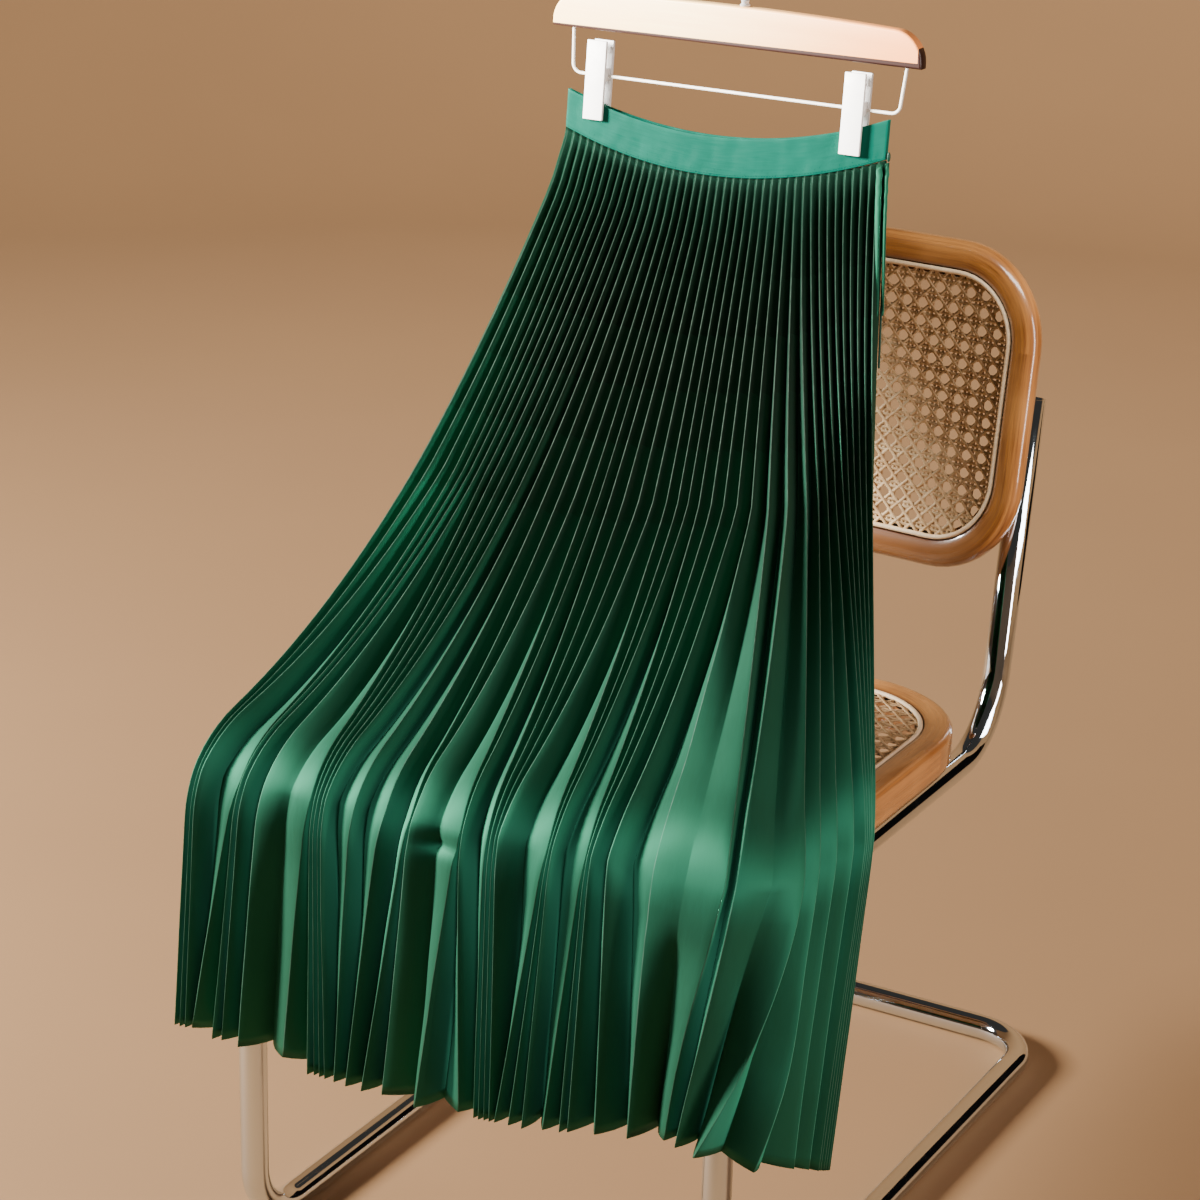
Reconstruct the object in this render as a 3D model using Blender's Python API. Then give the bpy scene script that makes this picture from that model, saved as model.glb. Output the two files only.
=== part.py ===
"""Pleated midi skirt, clipped to a hanger by its waistband and draped over a chair.

The skirt is a flat-hung tube of two pleated panels under a two-piece waistband, closed
by a side zip.  It falls forward from the hanger, bends over the front and right edges
of the seat and hangs free below them.  All sizes are in metres, +Z is up, +X is the
sitter's left and the chair faces -Y.
"""

import math
from collections import namedtuple

import bpy
import bmesh
import numpy as np
from mathutils import Matrix, Vector

# ---------------------------------------------------------------- driving dimensions
GAP = 0.0003                 # between touching pieces

# Skirt
CLOTH = 0.0010               # thickness of the pleated cloth
BAND_CLOTH = 0.0024          # folded and interfaced waistband
BAND_HEIGHT = 0.034
WAIST_LEFT = (-0.1933, 0.8903)    # x and z of the band's lower corners
WAIST_RIGHT = (0.1129, 0.8997)
WAIST_SAG = 0.0283           # how far the band's middle hangs below its corners
WAIST_TILT = math.radians(5)      # the band leans forward under the skirt's pull
FACE_AT_WAIST = 0.0050       # width of one pleat face
FACE_AT_HEM = 0.0300
LEAST_RISE = 0.15            # of a face spread wide, as a share of its width
MOST_HEIGHT = 0.56           # of a fold above or below the middle, the same way
LAYER_AT_WAIST = 0.0055      # from the tube's middle surface to either panel
LAYER_AT_LIP = 0.0090
SEAM_ROOM = 1.3              # widens the gap along steep pleats at the side seams
LEAD_IN = 0.020              # straight stretch under the band
BEND = 0.045                 # half length of the soft bend over the seat's edge
WALL_CLEARANCE = 0.0415      # from the chair's front legs to the middle surface
LIP_LEFT = -0.236            # left end of the bend over the seat
LIP_RIGHT_END = 0.135        # how far back the cloth wraps on the right side
BAND_COLUMNS = 24
GIRTH_STEPS = 160
LEVEL_REACH = 3              # folds on each side that settle a pleat's level
ZIP_LENGTH = 0.180
ZIP_RADIUS = 0.0009
ZIP_OUT = 0.0020             # from the side seam's middle to the bead's
SLIDER_HALF = (0.0016, 0.0016, 0.0042)

# How the cloth falls, at stations round the girth from the left edge to the right one
Drape = namedtuple("Drape", "girth sag lip_z flare_x flare_y hem_z")
DRAPE = (
    Drape(0.00, 0.064, 0.455, -0.016, -0.001, 0.224),
    Drape(0.30, 0.055, 0.461, -0.009, -0.001, 0.214),
    Drape(0.50, 0.042, 0.468, 0.000, -0.001, 0.229),
    Drape(0.68, 0.028, 0.474, 0.000, -0.001, 0.255),
    Drape(0.78, 0.020, 0.468, 0.002, -0.008, 0.230),
    Drape(1.00, 0.016, 0.456, -0.008, -0.042, 0.172),
)

# Ground covered by the pleats, left to right: a whole pleat in the hang, then a pleat's left
# and right faces over the seat and at the hem.  Each column is a share of that line's girth.
Pleats = namedtuple("Pleats", "count hang lip_left lip_right hem_left hem_right")
PLEAT_GROUPS = (
    Pleats(2, 19, 2, 2, 2.3, 2.3),
    Pleats(1, 20, 2, 11, 2.3, 2.3),
    Pleats(1, 13, 23, 2, 2.3, 21),
    Pleats(1, 9, 2, 2, 3, 3),
    Pleats(1, 10, 2, 9, 4, 12),
    Pleats(1, 11, 8, 23, 5, 16),
    Pleats(1, 10, 23, 2, 22, 25),
    Pleats(1, 14, 2, 2, 6, 2.5),
    Pleats(3, 14, 2, 2, 2.5, 2.5),
    Pleats(1, 22, 23, 2, 6, 6),
    Pleats(1, 20, 23, 11, 5, 8),
    Pleats(1, 21, 15, 2, 6, 9),
    Pleats(1, 21, 2, 20, 7, 26),
    Pleats(1, 15, 23, 2, 9, 12),
    Pleats(1, 13, 2, 5, 23, 12),
    Pleats(1, 18, 16, 2, 4, 2.3),
    Pleats(2, 20, 2, 2, 2.3, 2.3),
    Pleats(1, 20, 2, 17, 2.3, 2.3),
    Pleats(1, 16, 23, 2, 2.3, 6),
    Pleats(1, 13, 2, 2, 6, 6),
    Pleats(1, 13, 2, 2, 6, 3),
    Pleats(1, 16, 23, 2, 14, 10),
    Pleats(1, 16, 2, 2, 6, 3.3),
    Pleats(1, 16, 2, 7, 3.3, 15),
    Pleats(1, 16, 8, 12, 9.5, 18),
    Pleats(1, 16, 22.5, 23, 12, 14),
    Pleats(1, 19, 23, 4, 17.5, 6),
    Pleats(1, 22, 4, 14, 6, 5),
    Pleats(1, 22, 19, 18, 6, 14),
    Pleats(1, 17, 20, 18, 18, 22),
    Pleats(1, 15, 19, 17, 24, 22),
    Pleats(1, 15, 16, 14, 20, 16),
    Pleats(5, 11, 2.2, 2.2, 4.7, 4.7),
    Pleats(1, 13, 3.8, 3.8, 6, 6),
)
PLEATS = sum(group.count for group in PLEAT_GROUPS)    # in each panel

# Sections down the skirt: 0 at the band, 1 at the bend over the seat, 2 at the hem
STATIONS = (0, 0.5, 1, 2)    # where the pleats' columns hold: band, hang, bend and hem
SECTIONS = (0, 0.09, 0.20, 0.32, 0.44, 0.56, 0.68, 0.79, 0.88, 0.94, 1, 1.09, 1.22, 1.45, 1.72, 2)

# Hanger
HANGER_Y = 0.450
BAR_LEFT, BAR_RIGHT = -0.209, 0.140
BAR_BOTTOM, BAR_HEIGHT = 0.9780, 0.0340
BAR_THICK = 0.012
BAR_END_RADIUS = 0.026
ROD_Z = 0.9385
ROD_LEFT, ROD_RIGHT = -0.1905, 0.1215
ROD_RADIUS = 0.0014
ROD_BEND = 0.008
HOOK_X = -0.0256
HOOK_RADIUS = 0.0018
HOOK_STEM = 0.030
HOOK_STRAIGHT = 0.024        # of the stem, before it turns into the bow
HOOK_BOW = 0.021
HOOK_TURN = math.radians(-245)
WIRE_SPLAY = 0.004           # the right end of the wire leans outward by this
CLIP_X = (-0.1645, 0.0815)
CLIP_WIDTH = 0.019
CLIP_ABOVE, CLIP_BELOW = 0.030, 0.038   # plate ends above and below the rod
CLIP_PLATE = 0.003
CLIP_OPEN = 0.0049           # from the band's plane to a plate's inner face
BARREL_RADIUS = 0.0046
BARREL_INSET = 0.002

# Chair
TUBE = 0.012                 # tube radius
HALF_WIDTH = 0.220           # between the frame's middle and a side tube
RAIL_Z = 0.3879
REAR_Y = 0.6694              # floor bar behind the chair
BACK_Y = 0.4936              # where the seat rails turn up
BACK_LEAN = math.radians(8.8)
UPRIGHT_TOP = 0.690
BACK_BEND, FRONT_BEND, FOOT_BEND, CORNER_BEND = 0.075, 0.075, 0.055, 0.055
TUBE_LEVEL = 3               # bevel resolution that gives the tubes their sides
TUBE_SIDES = 2 * TUBE_LEVEL + 4
TUBE_FLAT = TUBE * math.cos(math.pi / TUBE_SIDES)   # from a tube's axis to its flat underside
STUB = 0.003                 # straight end of each bend
SEAT_FRONT, SEAT_REAR = -0.012, 0.474
SEAT_HALF = 0.231
SEAT_THICK = 0.033
SEAT_CORNERS = (0.110, 0.060)     # rear and front, in plan
FRAME_WIDTH = 0.025
BACK_HALF_WIDTH, BACK_HALF_HEIGHT = 0.233, 0.143
BACK_MIDDLE_Z = 0.674
BACK_CORNER = 0.085
BACK_FRAME_WIDTH = 0.025
BACK_THICK = 0.026
BACK_CURVE = 0.90            # radius of the backrest in plan
CANE_THICK = 0.003
EDGE = 0.008                 # rounding of the wooden frames


# ---------------------------------------------------------------- materials and meshes
def material(name, colour, roughness, metallic=0.0):
    made = bpy.data.materials.new(name)
    made.use_nodes = True
    shader = made.node_tree.nodes["Principled BSDF"]
    shader.inputs["Base Color"].default_value = (*colour, 1.0)
    shader.inputs["Roughness"].default_value = roughness
    shader.inputs["Metallic"].default_value = metallic
    return made


def place(name, data, finish, parent):
    """A new object for this mesh or curve, carried by the parent empty."""
    data.materials.append(finish)
    obj = bpy.data.objects.new(name, data)
    bpy.context.scene.collection.objects.link(obj)
    obj.parent = parent
    return obj


def place_bmesh(name, bm, finish, parent, sharp=math.radians(40)):
    """Closes a bmesh into an object whose faces point out, shaded smooth but for its edges."""
    bmesh.ops.recalc_face_normals(bm, faces=bm.faces)
    mesh = bpy.data.meshes.new(name)
    bm.to_mesh(mesh)
    bm.free()
    mesh.shade_smooth()
    mesh.set_sharp_from_angle(angle=sharp)
    return place(name, mesh, finish, parent)


def skin(bm, rings, closed=False):
    """Joins rings of equal count by quads; an open stack gets a cap at each end."""
    rows = [[bm.verts.new(point) for point in ring] for ring in rings]
    pairs = list(zip(rows, rows[1:]))
    if closed:
        pairs.append((rows[-1], rows[0]))
    for low, high in pairs:
        for i in range(len(low)):
            j = (i + 1) % len(low)
            bm.faces.new((low[i], low[j], high[j], high[i]))
    if not closed:
        bm.faces.new(reversed(rows[0]))
        bm.faces.new(rows[-1])


def tube(name, points, radius, finish, parent, level=2):
    """A round bar along the points, with filled ends."""
    curve = bpy.data.curves.new(name, "CURVE")
    curve.dimensions = "3D"
    curve.bevel_depth = radius
    curve.bevel_resolution = level
    curve.use_fill_caps = True
    spline = curve.splines.new("POLY")
    spline.points.add(len(points) - 1)
    for slot, point in zip(spline.points, points):
        slot.co = (*point, 1.0)
    return place(name, curve, finish, parent)


def arc(centre, start, turn, steps, stub=0.0):
    """Points turned about the centre from centre + start, with a straight stub at each end."""
    axis, angle = turn
    centre, start = Vector(centre), Vector(start)
    points = [centre + Matrix.Rotation(angle * i / steps, 3, axis) @ start
              for i in range(steps + 1)]
    if stub:
        ahead = Vector(axis).cross(start).normalized() * math.copysign(stub, angle)
        after = Matrix.Rotation(angle, 3, axis) @ ahead
        points = [points[0] - ahead] + points + [points[-1] + after]
    return points


# ---------------------------------------------------------------- the skirt's form
def drape(column, girth):
    """A column of the drape table, read at fractions of the girth."""
    stations = [row.girth for row in DRAPE]
    return np.interp(girth, stations, [getattr(row, column) for row in DRAPE])


def waist_point(across):
    """The waistband's lower edge, for a fraction of the way from left to right."""
    (x0, z0), (x1, z1) = WAIST_LEFT, WAIST_RIGHT
    z = z0 + (z1 - z0) * across - WAIST_SAG * 4 * across * (1 - across)
    y = HANGER_Y - (ROD_Z - z) * math.tan(WAIST_TILT)
    return np.array([x0 + (x1 - x0) * across, y, z])


def waist_down():
    """Unit direction down the waistband."""
    return np.array([0.0, -math.sin(WAIST_TILT), -math.cos(WAIST_TILT)])


def lip_plan(girth):
    """Plan position of the bend: along the seat's front, round its corner, back along its side."""
    front = HALF_WIDTH - LIP_LEFT
    corner = WALL_CLEARANCE * math.pi / 2
    along = girth * (front + corner + LIP_RIGHT_END)
    if along < front:
        return LIP_LEFT + along, -WALL_CLEARANCE
    if along < front + corner:
        angle = (along - front) / WALL_CLEARANCE
        return (HALF_WIDTH + WALL_CLEARANCE * math.sin(angle),
                -WALL_CLEARANCE * math.cos(angle))
    return HALF_WIDTH + WALL_CLEARANCE, along - front - corner


def fold_lines():
    """Fractions of the girth at which the fold lines cross each of the stations."""
    lines = [np.linspace(0, 1, 2 * PLEATS + 1)]
    for left, right in (("hang", "hang"), ("lip_left", "lip_right"), ("hem_left", "hem_right")):
        widths = [0.0]
        for group in PLEAT_GROUPS:
            widths += [getattr(group, left), getattr(group, right)] * group.count
        run = np.cumsum(widths)
        lines.append(run / run[-1])
    return np.array(lines)


def fall_line(girth):
    """A line down the tube's middle surface, as close points from band to hem."""
    top = waist_point(girth)
    lead = top + LEAD_IN * waist_down()
    plan = lip_plan(girth)
    lip = np.array([*plan, drape("lip_z", girth)])
    end = np.array([*plan, drape("hem_z", girth)])
    end[0] += drape("flare_x", girth)
    end[1] += drape("flare_y", girth)
    t = np.linspace(0, 1, 60)[1:, None]
    hang = lead + (lip - lead) * t
    hang[:, 2] -= drape("sag", girth) * 4 * t[:, 0] * (1 - t[:, 0])
    drop = lip + (end - lip) * np.linspace(0, 1, 30)[1:, None]
    above = top - BEND * waist_down()
    below = end + BEND * (end - lip) / np.linalg.norm(end - lip)
    return np.vstack([above, top, lead, hang, drop, below])


def softened(path):
    """The path with its corners rounded, as a function of the section number."""
    steps = np.linalg.norm(np.diff(path, axis=0), axis=1)
    run = np.concatenate([[0.0], np.cumsum(steps)])
    first, last = BEND, run[-1] - BEND
    lip_run = run[2 + 60]

    def at(section):
        if section <= 1:
            middle = first + (lip_run - first) * section
        else:
            middle = lip_run + (last - lip_run) * (section - 1)
        reach = min(BEND, LEAD_IN + middle - first) * np.linspace(-1, 1, 25)
        return np.array([np.interp(middle + reach, run, path[:, i]).mean() for i in range(3)])

    return at


def middle_surface():
    """Points and outward normals of the tube's middle surface, by section and fold line."""
    lines = fold_lines()
    girths = np.linspace(0, 1, GIRTH_STEPS + 1)
    falls = [softened(fall_line(girth)) for girth in girths]
    nudge = 0.02
    points, normals = [], []
    for section in SECTIONS:
        row = np.array([fall(section) for fall in falls])
        above = np.array([fall(max(section - nudge, 0)) for fall in falls])
        below = np.array([fall(min(section + nudge, 2)) for fall in falls])
        facing = np.cross(below - above, np.gradient(row, axis=0))
        folds = [np.interp(section, STATIONS, line) for line in lines.T]
        at_folds = [np.interp(folds, girths, column) for column in (*row.T, *facing.T)]
        point, normal = np.transpose(at_folds[:3]), np.transpose(at_folds[3:])
        points.append(point)
        normals.append(normal / np.linalg.norm(normal, axis=1)[:, None])
    return np.array(points), np.array(normals)


def face_width(section):
    """A pleat face widens evenly from the waist to the hem."""
    share = 0.74 * section if section < 1 else 0.74 + 0.26 * (section - 1)
    return FACE_AT_WAIST + (FACE_AT_HEM - FACE_AT_WAIST) * share


def pleat_heights(row, width):
    """Height of each fold line over its row, so that every face keeps its width."""
    step = np.linalg.norm(np.diff(row, axis=0), axis=1)
    rise = np.sqrt(np.maximum(width ** 2 - step ** 2, (LEAST_RISE * width) ** 2))
    rise[1::2] *= -1
    walk = np.pad(np.concatenate([[0.0], np.cumsum(rise)]), LEVEL_REACH, mode="reflect")
    weights = np.full(2 * LEVEL_REACH + 1, 2.0)
    weights[[0, -1]] = 1.0
    level = np.convolve(walk, weights / weights.sum(), mode="valid")
    heights = walk[LEVEL_REACH:-LEVEL_REACH] - level
    heights = np.clip(heights, -MOST_HEIGHT * width, MOST_HEIGHT * width)
    heights[[0, -1]] = 0.0
    return heights, step


def layer_offsets(section, columns, seam, sharpness=8.0):
    """Distance from the middle surface to a panel: least at the side seams."""
    share = min(section, 1)
    depth = LAYER_AT_WAIST + (LAYER_AT_LIP - LAYER_AT_WAIST) * share
    edge = np.abs(2 * np.linspace(0, 1, columns) - 1)
    power = 2 + sharpness * share
    return seam + (depth - seam) * (1 - edge ** power)


def cloth_wall(grid, thickness):
    """Outer and inner point grids of a wall of even thickness, mitred at its folds."""
    outer, inner = [], []
    for i, row in enumerate(grid):
        down = grid[min(i + 1, len(grid) - 1)] - grid[max(i - 1, 0)]
        segment = np.diff(row, axis=0)
        facing = np.cross((down[:-1] + down[1:]) / 2, segment)
        facing /= np.linalg.norm(facing, axis=1)[:, None]
        before = np.vstack([facing[:1], facing])
        after = np.vstack([facing, facing[-1:]])
        mitre = (before + after) / (1 + np.sum(before * after, axis=1))[:, None]
        outer.append(row + mitre * thickness / 2)
        inner.append(row - mitre * thickness / 2)
    return np.array(outer), np.array(inner)


def wall_bmesh(outer, inner):
    """Closes two point grids into one solid wall."""
    bm = bmesh.new()
    front = [[bm.verts.new(p) for p in row] for row in outer]
    back = [[bm.verts.new(p) for p in row] for row in inner]
    rows, columns = len(outer), len(outer[0])
    for i in range(rows - 1):
        for j in range(columns - 1):
            bm.faces.new((front[i][j], front[i + 1][j], front[i + 1][j + 1], front[i][j + 1]))
            bm.faces.new((back[i][j], back[i][j + 1], back[i + 1][j + 1], back[i + 1][j]))
    for i in (0, rows - 1):
        for j in range(columns - 1):
            edge = (front[i][j], front[i][j + 1], back[i][j + 1], back[i][j])
            bm.faces.new(edge if i == 0 else edge[::-1])
    for j in (0, columns - 1):
        for i in range(rows - 1):
            edge = (front[i][j], back[i][j], back[i + 1][j], front[i + 1][j])
            bm.faces.new(edge if j == 0 else edge[::-1])
    return bm


def trimmed_to_band(row):
    """Slides points up or down the waistband's direction on to its lower edge."""
    down = waist_down()
    across = (row[:, 0] - WAIST_LEFT[0]) / (WAIST_RIGHT[0] - WAIST_LEFT[0])
    edge = np.array([waist_point(a) for a in across])
    return row + np.outer((edge - row) @ down, down)


def make_panels(points, normals, finish, parent):
    """The front and back panels, nested a layer apart and meeting at the side seams."""
    for name, side in (("front_panel", 1), ("back_panel", -1)):
        grid = []
        for section, row, normal in zip(SECTIONS, points, normals):
            width = face_width(section)
            heights, step = pleat_heights(row, width)
            steepness = np.linspace(width / step[0], width / step[-1], len(row))
            seam = (CLOTH + GAP) / 2 * SEAM_ROOM * steepness
            offset = heights + side * layer_offsets(section, len(row), seam)
            grid.append(row + normal * offset[:, None])
        outer, inner = cloth_wall(np.array(grid), CLOTH)
        outer[0], inner[0] = trimmed_to_band(outer[0]), trimmed_to_band(inner[0])
        place_bmesh(name, wall_bmesh(outer, inner), finish, parent, math.radians(25))


def make_waistband(finish, parent):
    """Two curved strips above the pleats, joined at the side seams."""
    across = np.linspace(0, 1, BAND_COLUMNS + 1)
    up = -waist_down()
    forward = np.array([0.0, -math.cos(WAIST_TILT), math.sin(WAIST_TILT)])
    lower = np.array([waist_point(a) for a in across]) + up * GAP
    levels = (0, 0.0012, BAND_HEIGHT / 2, BAND_HEIGHT - 0.0012, BAND_HEIGHT)
    seam = (BAND_CLOTH + GAP) / 2
    offset = layer_offsets(0, BAND_COLUMNS + 1, seam)
    for name, side in (("waistband_front", 1), ("waistband_back", -1)):
        middle = lower + forward * (side * offset)[:, None]
        grid = np.array([middle + up * level for level in reversed(levels)])
        outer, inner = cloth_wall(grid, BAND_CLOTH)
        for face in (outer, inner):
            for i in (0, len(levels) - 1):
                face[i] += 0.45 * (grid[i] - face[i])
        place_bmesh(name, wall_bmesh(outer, inner), finish, parent)


def make_zip(points, finish, parent):
    """The closed zip as a fine bead along the right side seam, its slider at the top."""
    seam = [row[-1] + Vector((ZIP_OUT, 0, 0)) for row in points]
    run = [0.0]
    for a, b in zip(seam, seam[1:]):
        run.append(run[-1] + (Vector(b) - Vector(a)).length)
    start = 2 * ZIP_RADIUS
    down = np.linspace(start, ZIP_LENGTH, 9)
    bead = [[np.interp(d, run, [p[i] for p in seam]) for i in range(3)] for d in down]
    tube("side_zip", bead, ZIP_RADIUS, finish, parent)
    slider = bmesh.new()
    size = Matrix.Diagonal((*SLIDER_HALF, 1))
    bmesh.ops.create_uvsphere(slider, u_segments=10, v_segments=6, radius=1, matrix=size)
    top = Vector(bead[0]) + Vector((0, 0, SLIDER_HALF[2] + 2 * GAP))
    bmesh.ops.translate(slider, verts=slider.verts, vec=top)
    place_bmesh("zip_slider", slider, finish, parent)


# ---------------------------------------------------------------- the hanger
def bar_outline(inset):
    """The bar's side view: a straight lower edge, a gently arched top and rounded ends."""
    left, right = BAR_LEFT + inset, BAR_RIGHT - inset
    low, high = BAR_BOTTOM + inset, BAR_BOTTOM + BAR_HEIGHT - inset
    radius = BAR_END_RADIUS - inset
    drop = 0.0035
    points = [(left, low), (right, low)]
    for i in range(7):
        angle = math.pi / 2 * i / 6
        points.append((right - radius + radius * math.cos(angle),
                       high - drop - radius + radius * math.sin(angle)))
    for i in range(1, 6):
        t = i / 6
        x = (right - radius) + (left - right + 2 * radius) * t
        points.append((x, high - drop + drop * 4 * t * (1 - t)))
    for i in range(7):
        angle = math.pi / 2 * (1 + i / 6)
        points.append((left + radius + radius * math.cos(angle),
                       high - drop - radius + radius * math.sin(angle)))
    return points


def make_hanger_bar(finish, parent):
    half, bevel = BAR_THICK / 2, 0.0015
    rings = []
    for depth, inset in ((-half, bevel), (-half + bevel, 0), (half - bevel, 0), (half, bevel)):
        rings.append([(x, HANGER_Y + depth, z) for x, z in bar_outline(inset)])
    bm = bmesh.new()
    skin(bm, rings)
    place_bmesh("hanger_bar", bm, finish, parent, math.radians(30))


def make_hook(finish, parent):
    """A stem and an open bow, for a rail above."""
    base = BAR_BOTTOM + BAR_HEIGHT + GAP
    bow = Vector((HOOK_X, HANGER_Y, base + HOOK_STEM + HOOK_BOW))
    points = [(HOOK_X, HANGER_Y, base), (HOOK_X, HANGER_Y, base + HOOK_STRAIGHT)]
    points += arc(bow, (0, 0, -HOOK_BOW), (Vector((0, 1, 0)), HOOK_TURN), 16)
    tube("hanger_hook", points, HOOK_RADIUS, finish, parent)


def make_wire(finish, parent):
    """The clip rod with a drop at each end that goes up into the bar."""
    top = BAR_BOTTOM - GAP
    low = ROD_Z + ROD_BEND
    spin = Vector((0, 1, 0))
    left = arc((ROD_LEFT + ROD_BEND, HANGER_Y, low), (-ROD_BEND, 0, 0),
               (spin, -math.pi / 2), 5, ROD_RADIUS)
    right = arc((ROD_RIGHT - ROD_BEND, HANGER_Y, low), (ROD_BEND, 0, 0),
                (spin, math.pi / 2), 5, ROD_RADIUS)
    tube("wire_left", [(ROD_LEFT, HANGER_Y, top)] + left, ROD_RADIUS, finish, parent)
    splayed = (ROD_RIGHT + WIRE_SPLAY, HANGER_Y, top)
    tube("wire_right", [splayed] + right, ROD_RADIUS, finish, parent)
    inset = ROD_BEND + ROD_RADIUS + GAP
    rod = [(ROD_LEFT + inset, HANGER_Y, ROD_Z), (ROD_RIGHT - inset, HANGER_Y, ROD_Z)]
    tube("clip_rod", rod, ROD_RADIUS, finish, parent)


def clip_plate(side):
    """Section rings of one jaw, a flat plate beside the rod that lies against the band."""
    half, bevel = CLIP_WIDTH / 2, 0.0008
    inner, outer = CLIP_OPEN, CLIP_OPEN + CLIP_PLATE
    rings = []
    for depth, inset in ((inner, bevel), (inner + bevel, 0), (outer - bevel, 0), (outer, bevel)):
        x, low, high = half - inset, -CLIP_BELOW + inset, CLIP_ABOVE - inset
        ring = [(-x, low), (x, low), (x, high), (-x, high)]
        rings.append([(px, -side * depth, pz) for px, pz in ring])
    return rings


def make_clips(plate_finish, metal, parent):
    """Two spring clips on the rod, each of two plates and a hollow spring barrel."""
    turn = Matrix.Rotation(-WAIST_TILT, 3, "X")
    for label, x in zip(("left", "right"), CLIP_X):
        pivot = Vector((x, HANGER_Y, ROD_Z))
        for face, side in (("front", 1), ("back", -1)):
            bm = bmesh.new()
            skin(bm, [[pivot + turn @ Vector(p) for p in ring] for ring in clip_plate(side)])
            place_bmesh(f"clip_{label}_{face}", bm, plate_finish, parent)
        bm = bmesh.new()
        half = CLIP_WIDTH / 2 - BARREL_INSET
        profile = ((ROD_RADIUS + GAP, -half), (BARREL_RADIUS, -half),
                   (BARREL_RADIUS, half), (ROD_RADIUS + GAP, half))
        rings = []
        for i in range(16):
            angle = 2 * math.pi * i / 16
            rings.append([pivot + Vector((along, r * math.cos(angle), r * math.sin(angle)))
                          for r, along in profile])
        skin(bm, rings, closed=True)
        place_bmesh(f"clip_{label}_spring", bm, metal, parent)


# ---------------------------------------------------------------- the chair
def make_frame(finish, parent):
    """The bent tube frame: on each side upright, rail, leg and runner; a bar behind."""
    lean = Vector((0, math.sin(BACK_LEAN), math.cos(BACK_LEAN)))
    turn_up = math.pi / 2 - BACK_LEAN
    reach = BACK_BEND * math.tan(turn_up / 2)
    end = STUB + GAP
    for label, side in (("left", -1), ("right", 1)):
        x = side * HALF_WIDTH
        spin = Vector((1, 0, 0))
        bend_end = Vector((x, BACK_Y, RAIL_Z)) + lean * reach
        top = Vector((x, BACK_Y, RAIL_Z)) + lean * ((UPRIGHT_TOP - RAIL_Z) / math.cos(BACK_LEAN))
        rail_back, rail_front = BACK_Y - reach, FRONT_BEND
        leg_top, leg_low = RAIL_Z - FRONT_BEND, TUBE_FLAT + FOOT_BEND
        runner_back = REAR_Y - CORNER_BEND
        runs = {
            "upright": [top, bend_end + lean * end],
            "back_bend": arc((x, rail_back, RAIL_Z + BACK_BEND), (0, 0, -BACK_BEND),
                             (spin, turn_up), 6, STUB),
            "seat_rail": [(x, rail_back - end, RAIL_Z), (x, rail_front + end, RAIL_Z)],
            "front_bend": arc((x, FRONT_BEND, RAIL_Z - FRONT_BEND), (0, 0, FRONT_BEND),
                              (spin, math.pi / 2), 6, STUB),
            "leg": [(x, 0, leg_top - end), (x, 0, leg_low + end)],
            "foot_bend": arc((x, FOOT_BEND, leg_low), (0, -FOOT_BEND, 0),
                             (spin, math.pi / 2), 6, STUB),
            "runner": [(x, FOOT_BEND + end, TUBE_FLAT), (x, runner_back - end, TUBE_FLAT)],
            "corner_bend": arc((x - side * CORNER_BEND, runner_back, TUBE_FLAT),
                               (side * CORNER_BEND, 0, 0),
                               (Vector((0, 0, 1)), side * math.pi / 2), 6, STUB),
        }
        for run, points in runs.items():
            tube(f"{run}_{label}", points, TUBE, finish, parent, TUBE_LEVEL)
    ends = HALF_WIDTH - CORNER_BEND - end
    bar = [(-ends, REAR_Y, TUBE_FLAT), (ends, REAR_Y, TUBE_FLAT)]
    tube("rear_bar", bar, TUBE, finish, parent, TUBE_LEVEL)


def rounded_rectangle(half_x, half_y, corners, steps=6):
    """A closed loop of points round a rectangle, its corners rounded by (upper, lower) radii."""
    upper, lower = corners
    points = []
    for quarter, (sx, sy) in enumerate(((1, 1), (-1, 1), (-1, -1), (1, -1))):
        radius = upper if sy > 0 else lower
        if points:
            start = points[-1]
            angle = math.pi / 2 * quarter
            goal = (sx * (half_x - radius) + radius * math.cos(angle),
                    sy * (half_y - radius) + radius * math.sin(angle))
            points += side_points(start, goal)
        for i in range(steps + 1):
            angle = math.pi / 2 * (quarter + i / steps)
            points.append((sx * (half_x - radius) + radius * math.cos(angle),
                           sy * (half_y - radius) + radius * math.sin(angle)))
    return points + side_points(points[-1], points[0])


def side_points(start, goal, steps=4):
    """The points between two ends of a straight side."""
    return [(start[0] + (goal[0] - start[0]) * i / steps, start[1] + (goal[1] - start[1]) * i / steps)
            for i in range(1, steps)]


def frame_profile(width, thickness):
    """Cross-section of a wooden frame as (distance in from the outer edge, height) pairs."""
    return ((EDGE, 0), (width - EDGE / 2, 0), (width, EDGE / 2), (width, thickness - EDGE / 2),
            (width - EDGE / 2, thickness), (EDGE, thickness), (EDGE * 0.3, thickness - EDGE * 0.3),
            (0, thickness - EDGE), (0, EDGE), (EDGE * 0.3, EDGE * 0.3))


def make_panelled_frame(name, half_x, half_y, corners, width, thickness, where, finishes, parent):
    """A round-cornered wooden frame and the caned panel that fills it, set by a function."""
    wood, cane = finishes

    def ring(inset, height):
        radii = [radius - inset for radius in corners]
        return [where(x, y, height)
                for x, y in rounded_rectangle(half_x - inset, half_y - inset, radii)]

    bm = bmesh.new()
    rings = [ring(inset, height) for inset, height in frame_profile(width, thickness)]
    skin(bm, rings, closed=True)
    place_bmesh(f"{name}_frame", bm, wood, parent, math.radians(35))
    inner = width + GAP
    top = thickness - 0.002
    bm = bmesh.new()
    skin(bm, [ring(inner, top - CANE_THICK), ring(inner, top)])
    bmesh.ops.triangulate(bm, faces=[f for f in bm.faces if len(f.verts) > 4])
    place_bmesh(f"{name}_cane", bm, cane, parent, math.radians(35))


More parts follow.
